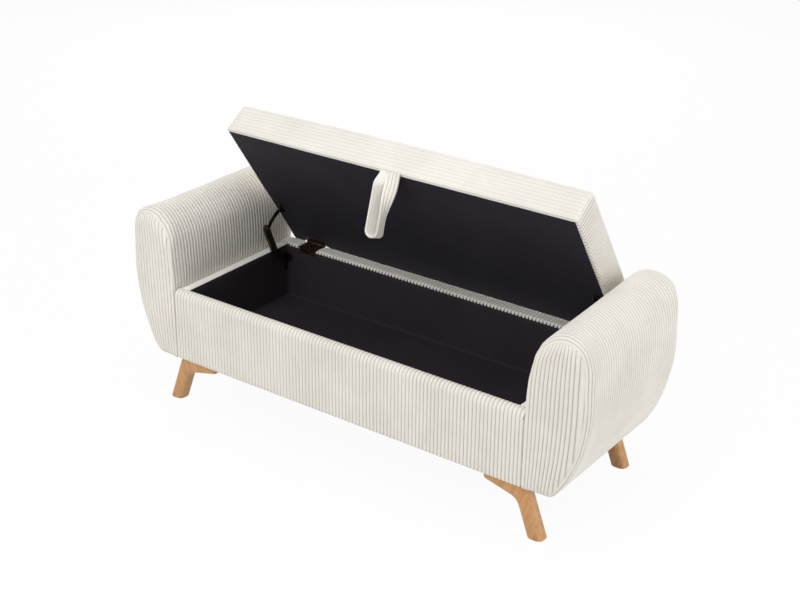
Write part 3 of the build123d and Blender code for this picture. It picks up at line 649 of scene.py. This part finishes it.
def arm_end(side, front, swell):
    """The front or back panel of an arm: upright wales that bow with its outline, drawn into the seam."""
    shaped = front_lean - front_fill if front else 0.0
    seam = arm_line - arm_normals * (arm_rounds * (1 - cos(SEAM_TURN)) + shaped)[:, None]
    levels = np.linspace(seam[:, 1].min(), seam[:, 1].max(), END_LEVELS)
    closed = np.vstack((seam, seam[:1]))
    low_x = np.full(END_LEVELS, FAR)
    high_x = np.full(END_LEVELS, -FAR)
    for a, b in zip(closed[:-1], closed[1:]):
        lo, hi = sorted((a[1], b[1]))
        hit = (levels >= lo) & (levels <= hi)
        if hi - lo < 1e-9:
            continue
        x = a[0] + (levels[hit] - a[1]) / (b[1] - a[1]) * (b[0] - a[0])
        low_x[hit] = np.minimum(low_x[hit], x)
        high_x[hit] = np.maximum(high_x[hit], x)
    good = high_x > low_x
    levels, low_x, high_x = levels[good], low_x[good], high_x[good]
    start = (1 - END_BOW) * low_x.min() + END_BOW * low_x
    span = (1 - END_BOW) * (high_x.max() - low_x.min()) + END_BOW * (high_x - low_x)
    low_w, high_w = (low_x - start) / span, (high_x - start) / span
    places, heights = wale_lines(low_w.min() + 1e-3, high_w.max() - 1e-3, ARM_END_WALES)
    rows, columns = END_ROWS, len(places)
    points = np.empty((rows, columns, 3))
    for k, w in enumerate(places):
        inside = np.flatnonzero((low_w <= w) & (high_w >= w))
        rise = np.linspace(levels[inside[0]], levels[inside[-1]], rows)
        points[:, k, 0] = np.interp(rise, levels, start + w * span)
        points[:, k, 2] = rise
    flat = points.reshape(-1, 3)
    away = np.full(len(flat), FAR)
    edge = np.zeros(len(flat))
    for a, b, radius in zip(closed[:-1], closed[1:], arm_rounds):
        d = b - a
        t = np.clip(((flat[:, 0] - a[0]) * d[0] + (flat[:, 2] - a[1]) * d[1]) / max(d @ d, 1e-12), 0, 1)
        gap = np.hypot(flat[:, 0] - a[0] - t * d[0], flat[:, 2] - a[1] - t * d[1])
        edge = np.where(gap < away, radius, edge)
        away = np.minimum(away, gap)
    turned = np.maximum(edge * cos(SEAM_TURN) - away, 0)
    depth = ARM_HALF_DEPTH - edge + np.sqrt(edge ** 2 - turned ** 2)
    depth += 0.002 * (1 - np.exp(-away / 0.03)) - seam_draw(edge, away)
    facing = -1 if front else 1
    across = facing * depth
    points[..., 1] = (BOX_MIDDLE + across + back_fill(across)).reshape(rows, -1)
    points[..., 0] *= side
    ribs = np.tile(heights, (rows, 1))
    fade = share_of(away, 0.008).reshape(rows, -1)
    rim = rim_loop(rows, columns)
    tucked = flat[rim]
    tucked[:, 1] -= facing * END_TUCK
    first = rows * columns
    loop = len(rim)
    faces = grid_faces(rows, columns)
    faces += [[rim[i], rim[(i + 1) % loop], first + (i + 1) % loop, first + i] for i in range(loop)]
    faces.append(list(range(first, first + loop)))
    every = np.vstack((flat, tucked))
    heights_all = np.hstack((ribs.ravel(), np.zeros(loop)))
    amount = np.hstack(((WALE_DEEP * fade).ravel(), np.zeros(loop)))
    hand = hand_name(side)
    face = "front" if front else "back"
    piece = sew(f"{hand}_arm_{face}_panel", every, faces, heights_all, amount, "bench",
                swell=swell)


# Front and back walls
RIM_PUFF = 0.0032
FRONT_WALL_ROUND = 0.016
BACK_WALL_ROUND = 0.005
HINGE_CLEAR = 0.030
WALL_UNDER = 0.022
WALL_THICK = 0.0078
HEM_ROUND = 0.006


def wall_panel(name, path, ribbed, puffed, clear, replaced):
    """A padded wall: a closed section along the bench, with wales up its outside and over its rim."""
    places, heights = wale_lines(-HALF_WIDTH + 0.0002, HALF_WIDTH - 0.0002, WALL_WALES)
    rows, width = len(path), len(places)
    points = spots(places, path[:, :1], path[:, 1:])
    free = np.ones(width)
    for middle, half in clear:
        free *= share_of(np.abs(np.abs(places) - middle) - half, 0.008)
    points[..., 2] += (RIM_PUFF * puffed)[:, None] * free
    ends = np.exp(-(HALF_WIDTH - np.abs(places)) / 0.003) * 0.0010
    inward = path.mean(0) - path
    inward /= np.maximum(np.linalg.norm(inward, axis=1), 1e-9)[:, None]
    points[..., 1:] += inward[:, None, :] * ends[:, None] * ribbed[:, None, None]
    faces = grid_faces(rows, width, ring=True) + end_caps(rows, width)
    ribs = np.tile(heights, (rows, 1))
    amount = (WALE_DEEP * ribbed)[:, None] * np.where(puffed[:, None] > 0, 0.35 + 0.65 * free, 1)
    amount = amount * np.where(HALF_WIDTH - np.abs(places) < 0.004, 0.75, 1)
    piece = sew(name, points, faces, ribs, amount, "bench", replaced)


def wall_section(outer, inner, radius, facing):
    """The section of a wall: from under its hem up the outside, over the rim, and back inside the pad."""
    def inside(depth):
        """A place behind the outer face."""
        return outer - facing * depth

    path = [(inside(WALL_UNDER), BASE_Z + 0.0005), (inside(HEM_ROUND), BASE_Z)]
    path += [(inside(HEM_ROUND * (1 - sin(a))), BASE_Z + HEM_ROUND * (1 - cos(a)))
             for a in np.linspace(0, pi / 2, 5)[1:]]
    top = RIM_Z - radius
    path += [(outer, z) for z in np.linspace(BASE_Z + 0.012, top - 0.004, 12)]
    puffed = [0.0] * len(path)
    arc = np.linspace(0, pi / 2, 11)
    path += [(inside(radius * (1 - cos(a))), top + radius * sin(a)) for a in arc]
    puffed += [float(sin(a) ** 2) for a in arc]
    flat = np.linspace(inside(radius + 0.001), inner + facing * 0.006, 5)
    path += [(y, RIM_Z) for y in flat]
    puffed += [1.0] * len(flat)
    roll = np.linspace(0, radians(125), 9)[1:]
    path += [(inner + facing * (0.005 - 0.008 * sin(a)), RIM_Z - 0.0042 * (1 - cos(a))) for a in roll]
    puffed += [float(cos(a / 1.4) ** 2) for a in roll]
    ribbed = [0.25, 0.4] + [1.0] * (len(path) - 2)
    pad_top = RIM_Z - 0.0070
    back = [(inner + facing * 0.0040, pad_top), (inside(radius + 0.001), pad_top),
            (inside(WALL_THICK), top - 0.002), (inside(WALL_THICK), BASE_Z + 0.008),
            (inside(WALL_UNDER), BASE_Z + 0.004)]
    puffed += [0.0] * len(back)
    return np.array(path + back), np.array(ribbed + [0.0] * len(back)), np.array(puffed)


def side_rim(side):
    """The smooth rolled strip of cloth over a side of the box, beside the arm."""
    inner, outer = WELL_SIDE, HALF_WIDTH - 0.0006
    hem = RIM_Z - 0.060
    path = [(outer, hem), (outer, RIM_Z - 0.006)]
    path += [(outer - 0.005 * (1 - cos(a)), RIM_Z - 0.005 + 0.005 * sin(a))
             for a in np.linspace(0.2, pi / 2, 5)]
    path += [(x, RIM_Z + 0.0022 * sin((x - inner) / (outer - inner) * pi) ** 0.7)
             for x in np.linspace(outer - 0.007, inner + 0.004, 8)]
    path += [(inner + 0.002 * (1 - sin(a)), RIM_Z - 0.002 + 0.002 * cos(a))
             for a in np.linspace(0.2, pi / 2, 4)]
    path += [(inner, RIM_Z - 0.003), (inner + 0.004, RIM_Z - 0.003), (outer - 0.003, RIM_Z - 0.006),
             (outer - 0.003, hem)]
    path = np.array(path)
    places = np.linspace(WELL_FRONT + 0.0004, WELL_BACK - 0.0004, 30)
    points = spots(path[:, :1] * side, places, path[:, 1:])
    ripple = np.array([[noise.noise((p[0] * 30, p[1] * 14, 3.0)) for p in row] for row in points])
    points[2:-6, :, 2] += ripple[2:-6] * 0.0006
    rows, width = len(path), len(places)
    faces = grid_faces(rows, width, ring=True) + end_caps(rows, width)
    hand = hand_name(side)
    piece = sew_plain(f"{hand}_side_rim", points, faces, "bench", (f"{hand}_side_cover",))


# Lid
def lid_to_bench(local):
    """Points of the lid's own frame, on the open hinge."""
    c, s = cos(LID_ANGLE), sin(LID_ANGLE)
    x, y, z = np.moveaxis(local, -1, 0)
    return spots(LID_HINGE[0] + x, LID_HINGE[1] + y * c + z * s, LID_HINGE[2] - y * s + z * c)


LID_ROUND = np.array((0.010, 0.009, 0.009))
LID_UNDER_ROUND = 0.0055
LID_HINGE_ROUND = 0.0025
LID_HEM = 0.007
LID_BACK_ROLL = 0.006
LID_NEAR_END = 0.02
LID_FADE = 0.010
LID_SWELL = 0.0045
HEM_WANDER = 0.0016
LINING_TURN = 0.011


def soften(local):
    """Round the edges of the lid's box, squarer along the hinge, and give its top the crown."""
    x, y, z = np.moveaxis(local, -1, 0)
    middle = (LID_FRONT + LID_BACK) / 2
    below, behind = z < (LID_UNDER + LID_TOP) / 2, y > middle
    round_y = np.where(below & behind, LID_HINGE_ROUND, LID_ROUND[1])
    round_z = np.where(below, np.where(behind, LID_HINGE_ROUND, LID_UNDER_ROUND), LID_ROUND[2])
    reach = spots(LID_ROUND[0], round_y, round_z)
    low = np.array((-LID_HALF, LID_FRONT, LID_UNDER)) + reach
    high = np.array((LID_HALF, LID_BACK, LID_TOP)) - reach
    core = np.clip(local, low, high)
    spoke = (local - core) / reach
    length = np.maximum(np.linalg.norm(spoke, axis=-1, keepdims=True), 1.0)
    soft = core + reach * spoke / length
    drop = (x ** 2 + (y - middle) ** 2) / (2 * LID_DOME)
    soft[..., 2] -= share_of(z - LID_UNDER, LID_TOP - LID_UNDER) * drop
    near_back = np.clip((y - LID_BACK) / 0.012 + 1, 0, 1)
    soft[..., 1] += LID_BACK_ROLL * near_back * np.exp(-np.maximum(z - LID_UNDER, 0) / 0.014)
    return soft


def slack_wave(x):
    """How the hem along the lid's front edge wanders between its staples."""
    return noise.noise((x * 16, 2.3, 0.0)) + 0.5 * noise.noise((x * 41, 7.1, 0.0))


def lid_held(rest, normals):
    """Where the lid's cloth can't swell: its edges, its corner seams and its stapled underside."""
    edges = (np.abs(normals) > 0.3).sum(1) > 1
    return edges | (rest[:, 2] < LID_UNDER + 0.008)


def lid_puff():
    """The swell of the lid's cloth, in the lid's own frame."""
    x, y = (-LID_HALF + 0.003, LID_HALF - 0.003), (LID_FRONT + 0.003, LID_BACK - 0.003)
    z = (LID_UNDER + 0.001, LID_TOP - 0.006)
    corners = ((x[0], y[0]), (x[1], y[0]), (x[1], y[1]), (x[0], y[1]))
    points = [(a, b, c) for c in z for a, b in corners]
    faces = [[3, 2, 1, 0], [4, 5, 6, 7]] + tube_faces(2, 4)
    return puff("lid_form", points, faces, lid_held, LID_SWELL, 0.012)


def lid_pad(swell):
    """The upholstered lid: one cloth with wales along the top and the front, and down the two ends."""
    inner_end = LID_HALF - LID_NEAR_END
    along = np.hstack((np.linspace(-LID_HALF, -inner_end, 11)[:-1],
                       np.linspace(-inner_end, inner_end, 44),
                       np.linspace(inner_end, LID_HALF, 11)[1:]))
    depth, depth_ribs = wale_lines(LID_FRONT, LID_BACK, LID_WALES)
    hem, hem_ribs = wale_lines(LID_UNDER, LID_UNDER + LID_HEM, 1)
    rise, rise_ribs = wale_lines(LID_UNDER + LID_HEM, LID_TOP, LID_RISE_WALES)
    rise, rise_ribs = np.hstack((hem[:-1], rise)), np.hstack((hem_ribs[:-1], rise_ribs))
    points, faces, ribs, amounts = [], [], [], []
    total = 0

    def panel(local, height, amount):
        """Add one side of the lid."""
        nonlocal total
        shape = local.shape[:2]
        points.append(soften(local).reshape(-1, 3))
        faces.extend(grid_faces(*shape, start=total))
        ribs.append(np.broadcast_to(height, shape).ravel())
        amounts.append(np.broadcast_to(amount, shape).ravel())
        total += shape[0] * shape[1]

    x, y = np.meshgrid(along, depth, indexing="ij")
    panel(spots(x, y, LID_TOP), depth_ribs, WALE_DEEP * 0.9)
    from_edge = np.minimum(np.abs(depth - LID_FRONT), np.abs(depth - LID_BACK))
    side_fade = share_of(from_edge, LID_FADE)
    for end in (-LID_HALF, LID_HALF):
        z, side_y = np.meshgrid(rise, depth, indexing="ij")
        panel(spots(end, side_y, z), depth_ribs, WALE_DEEP * side_fade)
    end_fade = share_of(LID_HALF - np.abs(along), LID_FADE)[:, None]
    for edge in (LID_FRONT, LID_BACK):
        edge_x, z = np.meshgrid(along, rise, indexing="ij")
        # Wale heights raised on the lid's front and back: less painted groove shade there
        panel(spots(edge_x, edge, z), 0.45 + 0.55 * rise_ribs, WALE_DEEP * 0.9 * end_fade)
    wrapped = share_of(np.abs(x) - LID_HALF + 0.012, 0.004)
    panel(spots(x, y, LID_UNDER), depth_ribs, WALE_DEEP * 0.8 * wrapped)
    every = np.vstack(points)
    if swell is not None:
        every = swell(every)
    low = np.exp(-np.maximum(every[:, 2] - LID_UNDER, 0) / 0.010)
    wander = np.array([slack_wave(x) for x in every[:, 0]])
    every[:, 1] += HEM_WANDER * low * wander * (every[:, 1] < LID_FRONT + 0.03)
    piece = sew("lid_pad", lid_to_bench(every), faces, np.hstack(ribs), np.hstack(amounts), "lid",
                ("lid_cover", "lid_foam"))


def lid_lining():
    """Black cloth under the lid, folded in at its edge and stapled, with a few slack ripples."""
    inset = 0.007
    along = np.linspace(-LID_HALF + inset, LID_HALF - inset, 200)
    depth = np.linspace(LID_FRONT + inset, LID_BACK - inset, 175)
    x, y, from_side, edge = flat_cloth(along, depth)
    beside_hinge = share_of(np.abs(np.abs(x) - HINGE_OUT) - 0.034, 0.008)
    y = y + LINING_TURN * beside_hinge * np.clip((y - depth[-1]) / 0.05 + 1, 0, 1)
    wave = ripples(along, depth, 9, 5, 1.7) + 0.5 * ripples(along, depth, 22, 30, 5.1)
    slack = 0.0005 * (wave + 0.6) * share_of(edge, 0.03)
    fold = 0.0004 * np.exp(-((edge - 0.012) / 0.002) ** 2)
    drawn = np.exp(-edge / 0.01) * 0.0011 * ripples(along, depth, 60, 60, 8.3)
    pitch = (LID_BACK - LID_FRONT) / LID_WALES
    crest = np.abs(np.sin(pi * (y - LID_FRONT) / pitch)) * np.exp(-from_side / 0.005)
    hem = np.array([slack_wave(p) for p in along])[:, None]
    wander = 1.5 * HEM_WANDER * hem * np.exp((depth[0] - y) / 0.012)
    low = spots(x + (drawn - 0.0022 * crest) * np.sign(x),
                y + drawn * np.sign(y - depth.mean()) + wander,
                0.0022 + np.clip(slack + fold, 0, 0.001))
    high = spots(x, y, LID_UNDER)
    points = lid_to_bench(np.vstack((low, high)).reshape(-1, 3))
    piece = sew_plain("lid_underside_cloth", points, slab_faces(*x.shape), "lid",
                      ("lid_lining",), lid_black)


# Linings of the box
WELL_FLOOR = 0.164
WELL_THICK = 0.002
WELL_CORNER = 0.006
WELL_POINTS = 220
WELL_SHARES = (0.0, 0.2, 0.4, 0.6, 0.8, 0.9, 0.95, 0.975)


def well_ring(low, high, radius):
    """Evenly spaced places round a rectangle with rounded corners."""
    left, right = low[0] + radius, high[0] - radius
    near, far = low[1] + radius, high[1] - radius
    marks = []
    for x, y, start in ((right, far, 0), (left, far, pi / 2), (left, near, pi), (right, near, 1.5 * pi)):
        marks += [(x + radius * cos(start + a), y + radius * sin(start + a))
                  for a in np.linspace(0, pi / 2, 5)]
    return respace(np.array(marks), count=WELL_POINTS)


def well_cloth():
    """Black cloth on the floor and walls of the well, with soft corners and its top edge folded over."""
    low = np.array((-WELL_SIDE, WELL_FRONT, WELL_FLOOR))
    high = np.array((WELL_SIDE, WELL_BACK, RIM_Z - 0.001))
    inner_low = low + WELL_THICK
    inner_high = high - np.array((WELL_THICK, WELL_THICK, 0))
    inside = well_ring(inner_low, inner_high, WELL_CORNER)
    outside = well_ring(low, high, 0.0005)
    middle = np.array(((low[0] + high[0]) / 2, (low[1] + high[1]) / 2))
    floor_z = inner_low[2]
    rings = [(middle + (inside - middle) * share, floor_z) for share in WELL_SHARES]
    for a in np.linspace(0, pi / 2, 5):
        pulled = middle + (inside - middle) * (1 - 0.012 * (1 - sin(a)))
        rings.append((pulled, floor_z + 0.004 * (1 - cos(a))))
    rings += [(inside, z) for z in np.linspace(floor_z + 0.012, high[2] - 0.0012, 9)]
    rings += [((inside + outside) / 2, high[2]), (outside, high[2] - 0.0006), (outside, low[2])]
    points = np.array([np.column_stack((ring, np.full(WELL_POINTS, z))) for ring, z in rings])
    slack = np.array([[noise.noise((p[0] * 7, p[1] * 7, p[2] * 9)) for p in row] for row in points])
    points[1:8, :, 2] += 0.0006 * np.clip(slack[1:8], 0, 1)
    faces = tube_faces(len(rings), WELL_POINTS)
    faces.append(list(range((len(rings) - 1) * WELL_POINTS, len(rings) * WELL_POINTS)))
    piece = sew_plain("well_cloth", points, faces, "bench", ("well_lining",), well_black)


def dust_cloth():
    """Black cloth stapled under the box."""
    along = np.linspace(-HALF_WIDTH + 0.003, HALF_WIDTH - 0.003, 90)
    depth = np.linspace(FRONT_Y + 0.008, BACK_Y - 0.008, 40)
    x, y, _, edge = flat_cloth(along, depth)
    wave = ripples(along, depth, 8, 8, 4.4)
    low = spots(x, y, BASE_Z + 0.0005 * np.clip(wave, 0, 1) * share_of(edge, 0.03))
    high = spots(x, y, BASE_Z + 0.0012)
    points = np.vstack((low, high)).reshape(-1, 3)
    piece = sew_plain("underside_dust_cloth", points, slab_faces(*x.shape), "bench",
                      ("dust_cover",), dust_black)


# Pull strap
STRAP_LENGTH = 0.152
STRAP_WIDE = 0.036
STRAP_GATHERED = 0.020
STRAP_DRAWN = 0.027
STRAP_OPEN = radians(66)
STRAP_SHIFT = 0.004
STRAP_THICK = 0.0052
STRAP_SPREAD = 0.027
STRAP_LEAN = radians(17)
STRAP_FORWARD = 0.014
STRAP_SHORT_TURN = 0.036
STRAP_LONG_TURN = 0.112
STRAP_TOP = np.array((0.005, -0.05912, 0.67617))
STRAP_WALE_DEEP = 0.0011
STRAP_STATIONS = 44


def pull_strap():
    """A folded corduroy band sewn under the lid's front edge; each limb turns into the loop."""
    down = np.array((0, -sin(STRAP_LEAN), -cos(STRAP_LEAN)))
    front = np.array((0, -cos(STRAP_LEAN), sin(STRAP_LEAN)))
    right = np.array((1.0, 0, 0))
    bend = STRAP_SPREAD / 2
    straight = STRAP_LENGTH - bend - STRAP_THICK / 2

    def limb(side, turn_end, last_turn, top_wide, low_wide, shift, run):
        """Places down one limb: middle, direction across, direction along, and width."""
        stations = []
        for along in np.linspace(-0.002, straight, STRAP_STATIONS):
            share = min(1.0, max(0.0, along / turn_end))
            ease = share * share * (3 - 2 * share)
            turn = last_turn * ease
            across = right * cos(turn) - front * sin(turn)
            sideways = right * (side * bend + shift * ease)
            spot = STRAP_TOP + down * along + sideways + front * STRAP_FORWARD * ease
            stations.append((spot, across, run, top_wide + (low_wide - top_wide) * ease))
        return stations

    stations = limb(1, STRAP_LONG_TURN, pi / 2, STRAP_WIDE, STRAP_DRAWN, 0.0, down)
    centre = STRAP_TOP + down * straight + front * STRAP_FORWARD
    for a in np.linspace(0, pi, 17)[1:-1]:
        share = a / pi
        turn = pi / 2 + (STRAP_OPEN - pi / 2) * share
        spot = centre + right * (bend * cos(a) + STRAP_SHIFT * share) + down * bend * sin(a)
        stations.append((spot, right * cos(turn) - front * sin(turn), down * cos(a) - right * sin(a),
                         STRAP_DRAWN + (STRAP_WIDE - STRAP_DRAWN) * share))
    short = limb(-1, STRAP_SHORT_TURN, STRAP_OPEN, STRAP_GATHERED, STRAP_WIDE, STRAP_SHIFT, -down)
    stations += short[::-1]
    lines, heights = wale_lines(-0.5, 0.5, STRAP_WALES)
    # Painted light: this face's wale heights are raised toward the crest, giving shallower grooves and
    # the paler crest colour on the loop's shaded inner face
    outline = [(f, 0.5, 0.7 + 0.3 * h) for f, h in zip(lines, heights)]
    outline += [(f, -0.5, h) for f, h in zip(lines[::-1], heights[::-1])]
    points, ribs = [], []
    for spot, across, run, wide in stations:
        face = np.cross(across, run)
        face /= np.linalg.norm(face)
        for f, s, h in outline:
            roll = min(1.0, (0.5 - abs(f)) / 0.07)
            thick = STRAP_THICK * (0.45 + 0.55 * sin(roll * pi / 2))
            points.append(spot + across * f * wide + face * s * thick)
            ribs.append(h)
    rows, width = len(stations), len(outline)
    faces = tube_faces(rows, width)
    faces += [list(range(width)), list(range((rows - 1) * width, rows * width))]
    piece = sew("pull_strap_band", points, faces, ribs, np.full(len(ribs), STRAP_WALE_DEEP), "pull_strap",
                ("pull_strap",))


# Stitched seams between the front wall and the arms
STITCH_PITCH = 0.0066
STITCH_RADIUS = 0.0014
STITCH_LENGTH = 0.0038


def seam_stitches(side):
    """Hand-sized stitches down the seam: one is modelled, then copied down the seam."""
    bpy.ops.object.select_all(action="DESELECT")
    place = (side * (HALF_WIDTH + 0.0004), FRONT_Y + 0.0007, BASE_Z + 0.012)
    bpy.ops.mesh.primitive_cylinder_add(
        vertices=8, radius=STITCH_RADIUS, depth=STITCH_LENGTH, location=place)
    stitch = bpy.context.object
    bpy.ops.object.mode_set(mode="EDIT")
    bpy.ops.mesh.select_all(action="SELECT")
    bpy.ops.mesh.bevel(offset=0.0004, segments=2, affect="EDGES")
    bpy.ops.object.mode_set(mode="OBJECT")
    bpy.ops.object.transform_apply(location=True, rotation=True, scale=True)
    row = stitch.modifiers.new("seam_row", "ARRAY")
    row.use_relative_offset = False
    row.use_constant_offset = True
    row.constant_offset_displace = (0, 0, STITCH_PITCH)
    row.count = int((RIM_Z - BASE_Z - 0.021) / STITCH_PITCH)
    bpy.ops.object.modifier_apply(modifier="seam_row")
    stitch.name = f"{hand_name(side)}_seam_stitches"
    stitch.data.shade_smooth()
    stitch.data.materials.append(thread)
    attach(stitch, "bench")


arm_swell = arm_puff()
for side in (1, -1):
    swell = mirrored_swell(arm_swell, side)
    arm_wrap(side, swell)
    arm_end(side, True, swell)
    arm_end(side, False, swell)
    side_rim(side)
    seam_stitches(side)
front_section = wall_section(FRONT_Y, WELL_FRONT, FRONT_WALL_ROUND, -1)
back_section = wall_section(BACK_Y, WELL_BACK, BACK_WALL_ROUND, 1)
wall_panel("front_wall_panel", *front_section, (), ("front_cover", "front_pad"))
wall_panel("back_wall_panel", *back_section, ((HINGE_OUT, HINGE_CLEAR),), ("back_cover", "back_pad"))
lid_pad(lid_puff())
lid_lining()
well_cloth()
dust_cloth()
pull_strap()

# Finishes of the pieces that come from the CAD: the first word that a name has decides
node_finishes = (
    ("_leg", leg_wood), ("leg_glides", glide_black),
    ("arm_bolts", zinc), ("arm_tee_nuts", zinc), ("leg_screws", zinc), ("_screws", screw_bronze_painted_highlight),
    ("stay", bronze), ("hinge_board", board_wood), ("hinge", hinge_bronze_painted_highlight), ("", board_wood),
)
for name, node in nodes.items():
    node.data.materials.clear()
    node.data.materials.append(next(finish for word, finish in node_finishes if word in name))


# Studio
FLOOR_GREY = (0.88, 0.88, 0.88, 1)
FLOOR_GLOW = 0.95
FILL_LIGHT = 0.33
WHITE_LIGHT = {"Color": (1, 1, 1, 1), "Strength": 1.0}


def show_white(owner, out, lit, white, glow):
    """Let a floor or a sky light the scene in its own way, and show white to the eye and its mirrors."""
    owner.use_nodes = True
    tree = owner.node_tree
    tree.nodes.clear()
    rays = add_node(tree, "LightPath").outputs
    shown = rays["Is Camera Ray"]
    for kind in ("Is Glossy Ray", "Is Transmission Ray"):
        shown = add_node(tree, "Math", {0: shown, 1: rays[kind]}, operation="MAXIMUM").outputs[0]
    share = add_node(tree, "Math", {0: shown, 1: glow}, operation="MULTIPLY").outputs[0]
    shades = [add_node(tree, kind, values).outputs[0] for kind, values in (lit, white)]
    mix = add_node(tree, "MixShader", {0: share, 1: shades[0], 2: shades[1]})
    feed(tree, add_node(tree, out), {"Surface": mix.outputs[0]})


paint = bpy.data.materials.new("studio_floor_paint")
matt = ("BsdfDiffuse", {"Color": FLOOR_GREY})
show_white(paint, "OutputMaterial", matt, ("Emission", WHITE_LIGHT), FLOOR_GLOW)
bpy.ops.mesh.primitive_plane_add(size=40, location=(0, 0, -0.0005))
floor = bpy.context.object
floor.name = "studio_floor"
floor.data.materials.append(paint)

sky = bpy.data.worlds.new("studio_world")
scene.world = sky
fill = ("Background", {"Color": (1, 1, 1, 1), "Strength": FILL_LIGHT})
show_white(sky, "OutputWorld", fill, ("Background", WHITE_LIGHT), 1.0)


def softbox(name, place, aim, size, power):
    """A square studio lamp turned to its aim."""
    lamp = bpy.data.lights.new(name, "AREA")
    lamp.shape = "SQUARE"
    lamp.size = size
    lamp.energy = power
    holder = add_object(name, lamp)
    holder.location = place
    holder.rotation_euler = (Vector(aim) - Vector(place)).to_track_quat("-Z", "Y").to_euler()


softbox("overhead_softbox", (0.3, -0.5, 3.4), (0, 0, 0.3), 2.6, 37)
softbox("right_softbox", (3.2, 0.8, 0.95), (0.3, 0, 0.35), 1.9, 38)
softbox("front_softbox", (-0.1, -3.2, 2.7), (0, 0, 0.25), 2.6, 75)
softbox("back_softbox", (-2.4, 3.0, 1.7), (0, 0, 0.3), 2.2, 52)

# Camera at the photograph's place
CAMERA_PLACE = (1.86953, FRONT_Y - 2.33252, 1.82583)
CAMERA_LENS = 66.85
azimuth, elevation, roll = radians(35.92), radians(25.03), radians(0.6)
back_way = Vector((sin(azimuth) * cos(elevation), -cos(azimuth) * cos(elevation), sin(elevation)))
right_way = Vector((cos(azimuth), sin(azimuth), 0))
up_way = back_way.cross(right_way)
right_rolled = right_way * cos(roll) + up_way * sin(roll)
up_rolled = up_way * cos(roll) - right_way * sin(roll)
eye = bpy.data.cameras.new("photo_camera")
eye.lens = CAMERA_LENS
eye.sensor_width = 36.0
eye.clip_end = 100
camera = add_object("photo_camera", eye)
turn = Matrix((right_rolled, up_rolled, back_way)).transposed()
camera.matrix_world = Matrix.Translation(CAMERA_PLACE) @ turn.to_4x4()
scene.camera = camera
scene.view_settings.view_transform = "Standard"
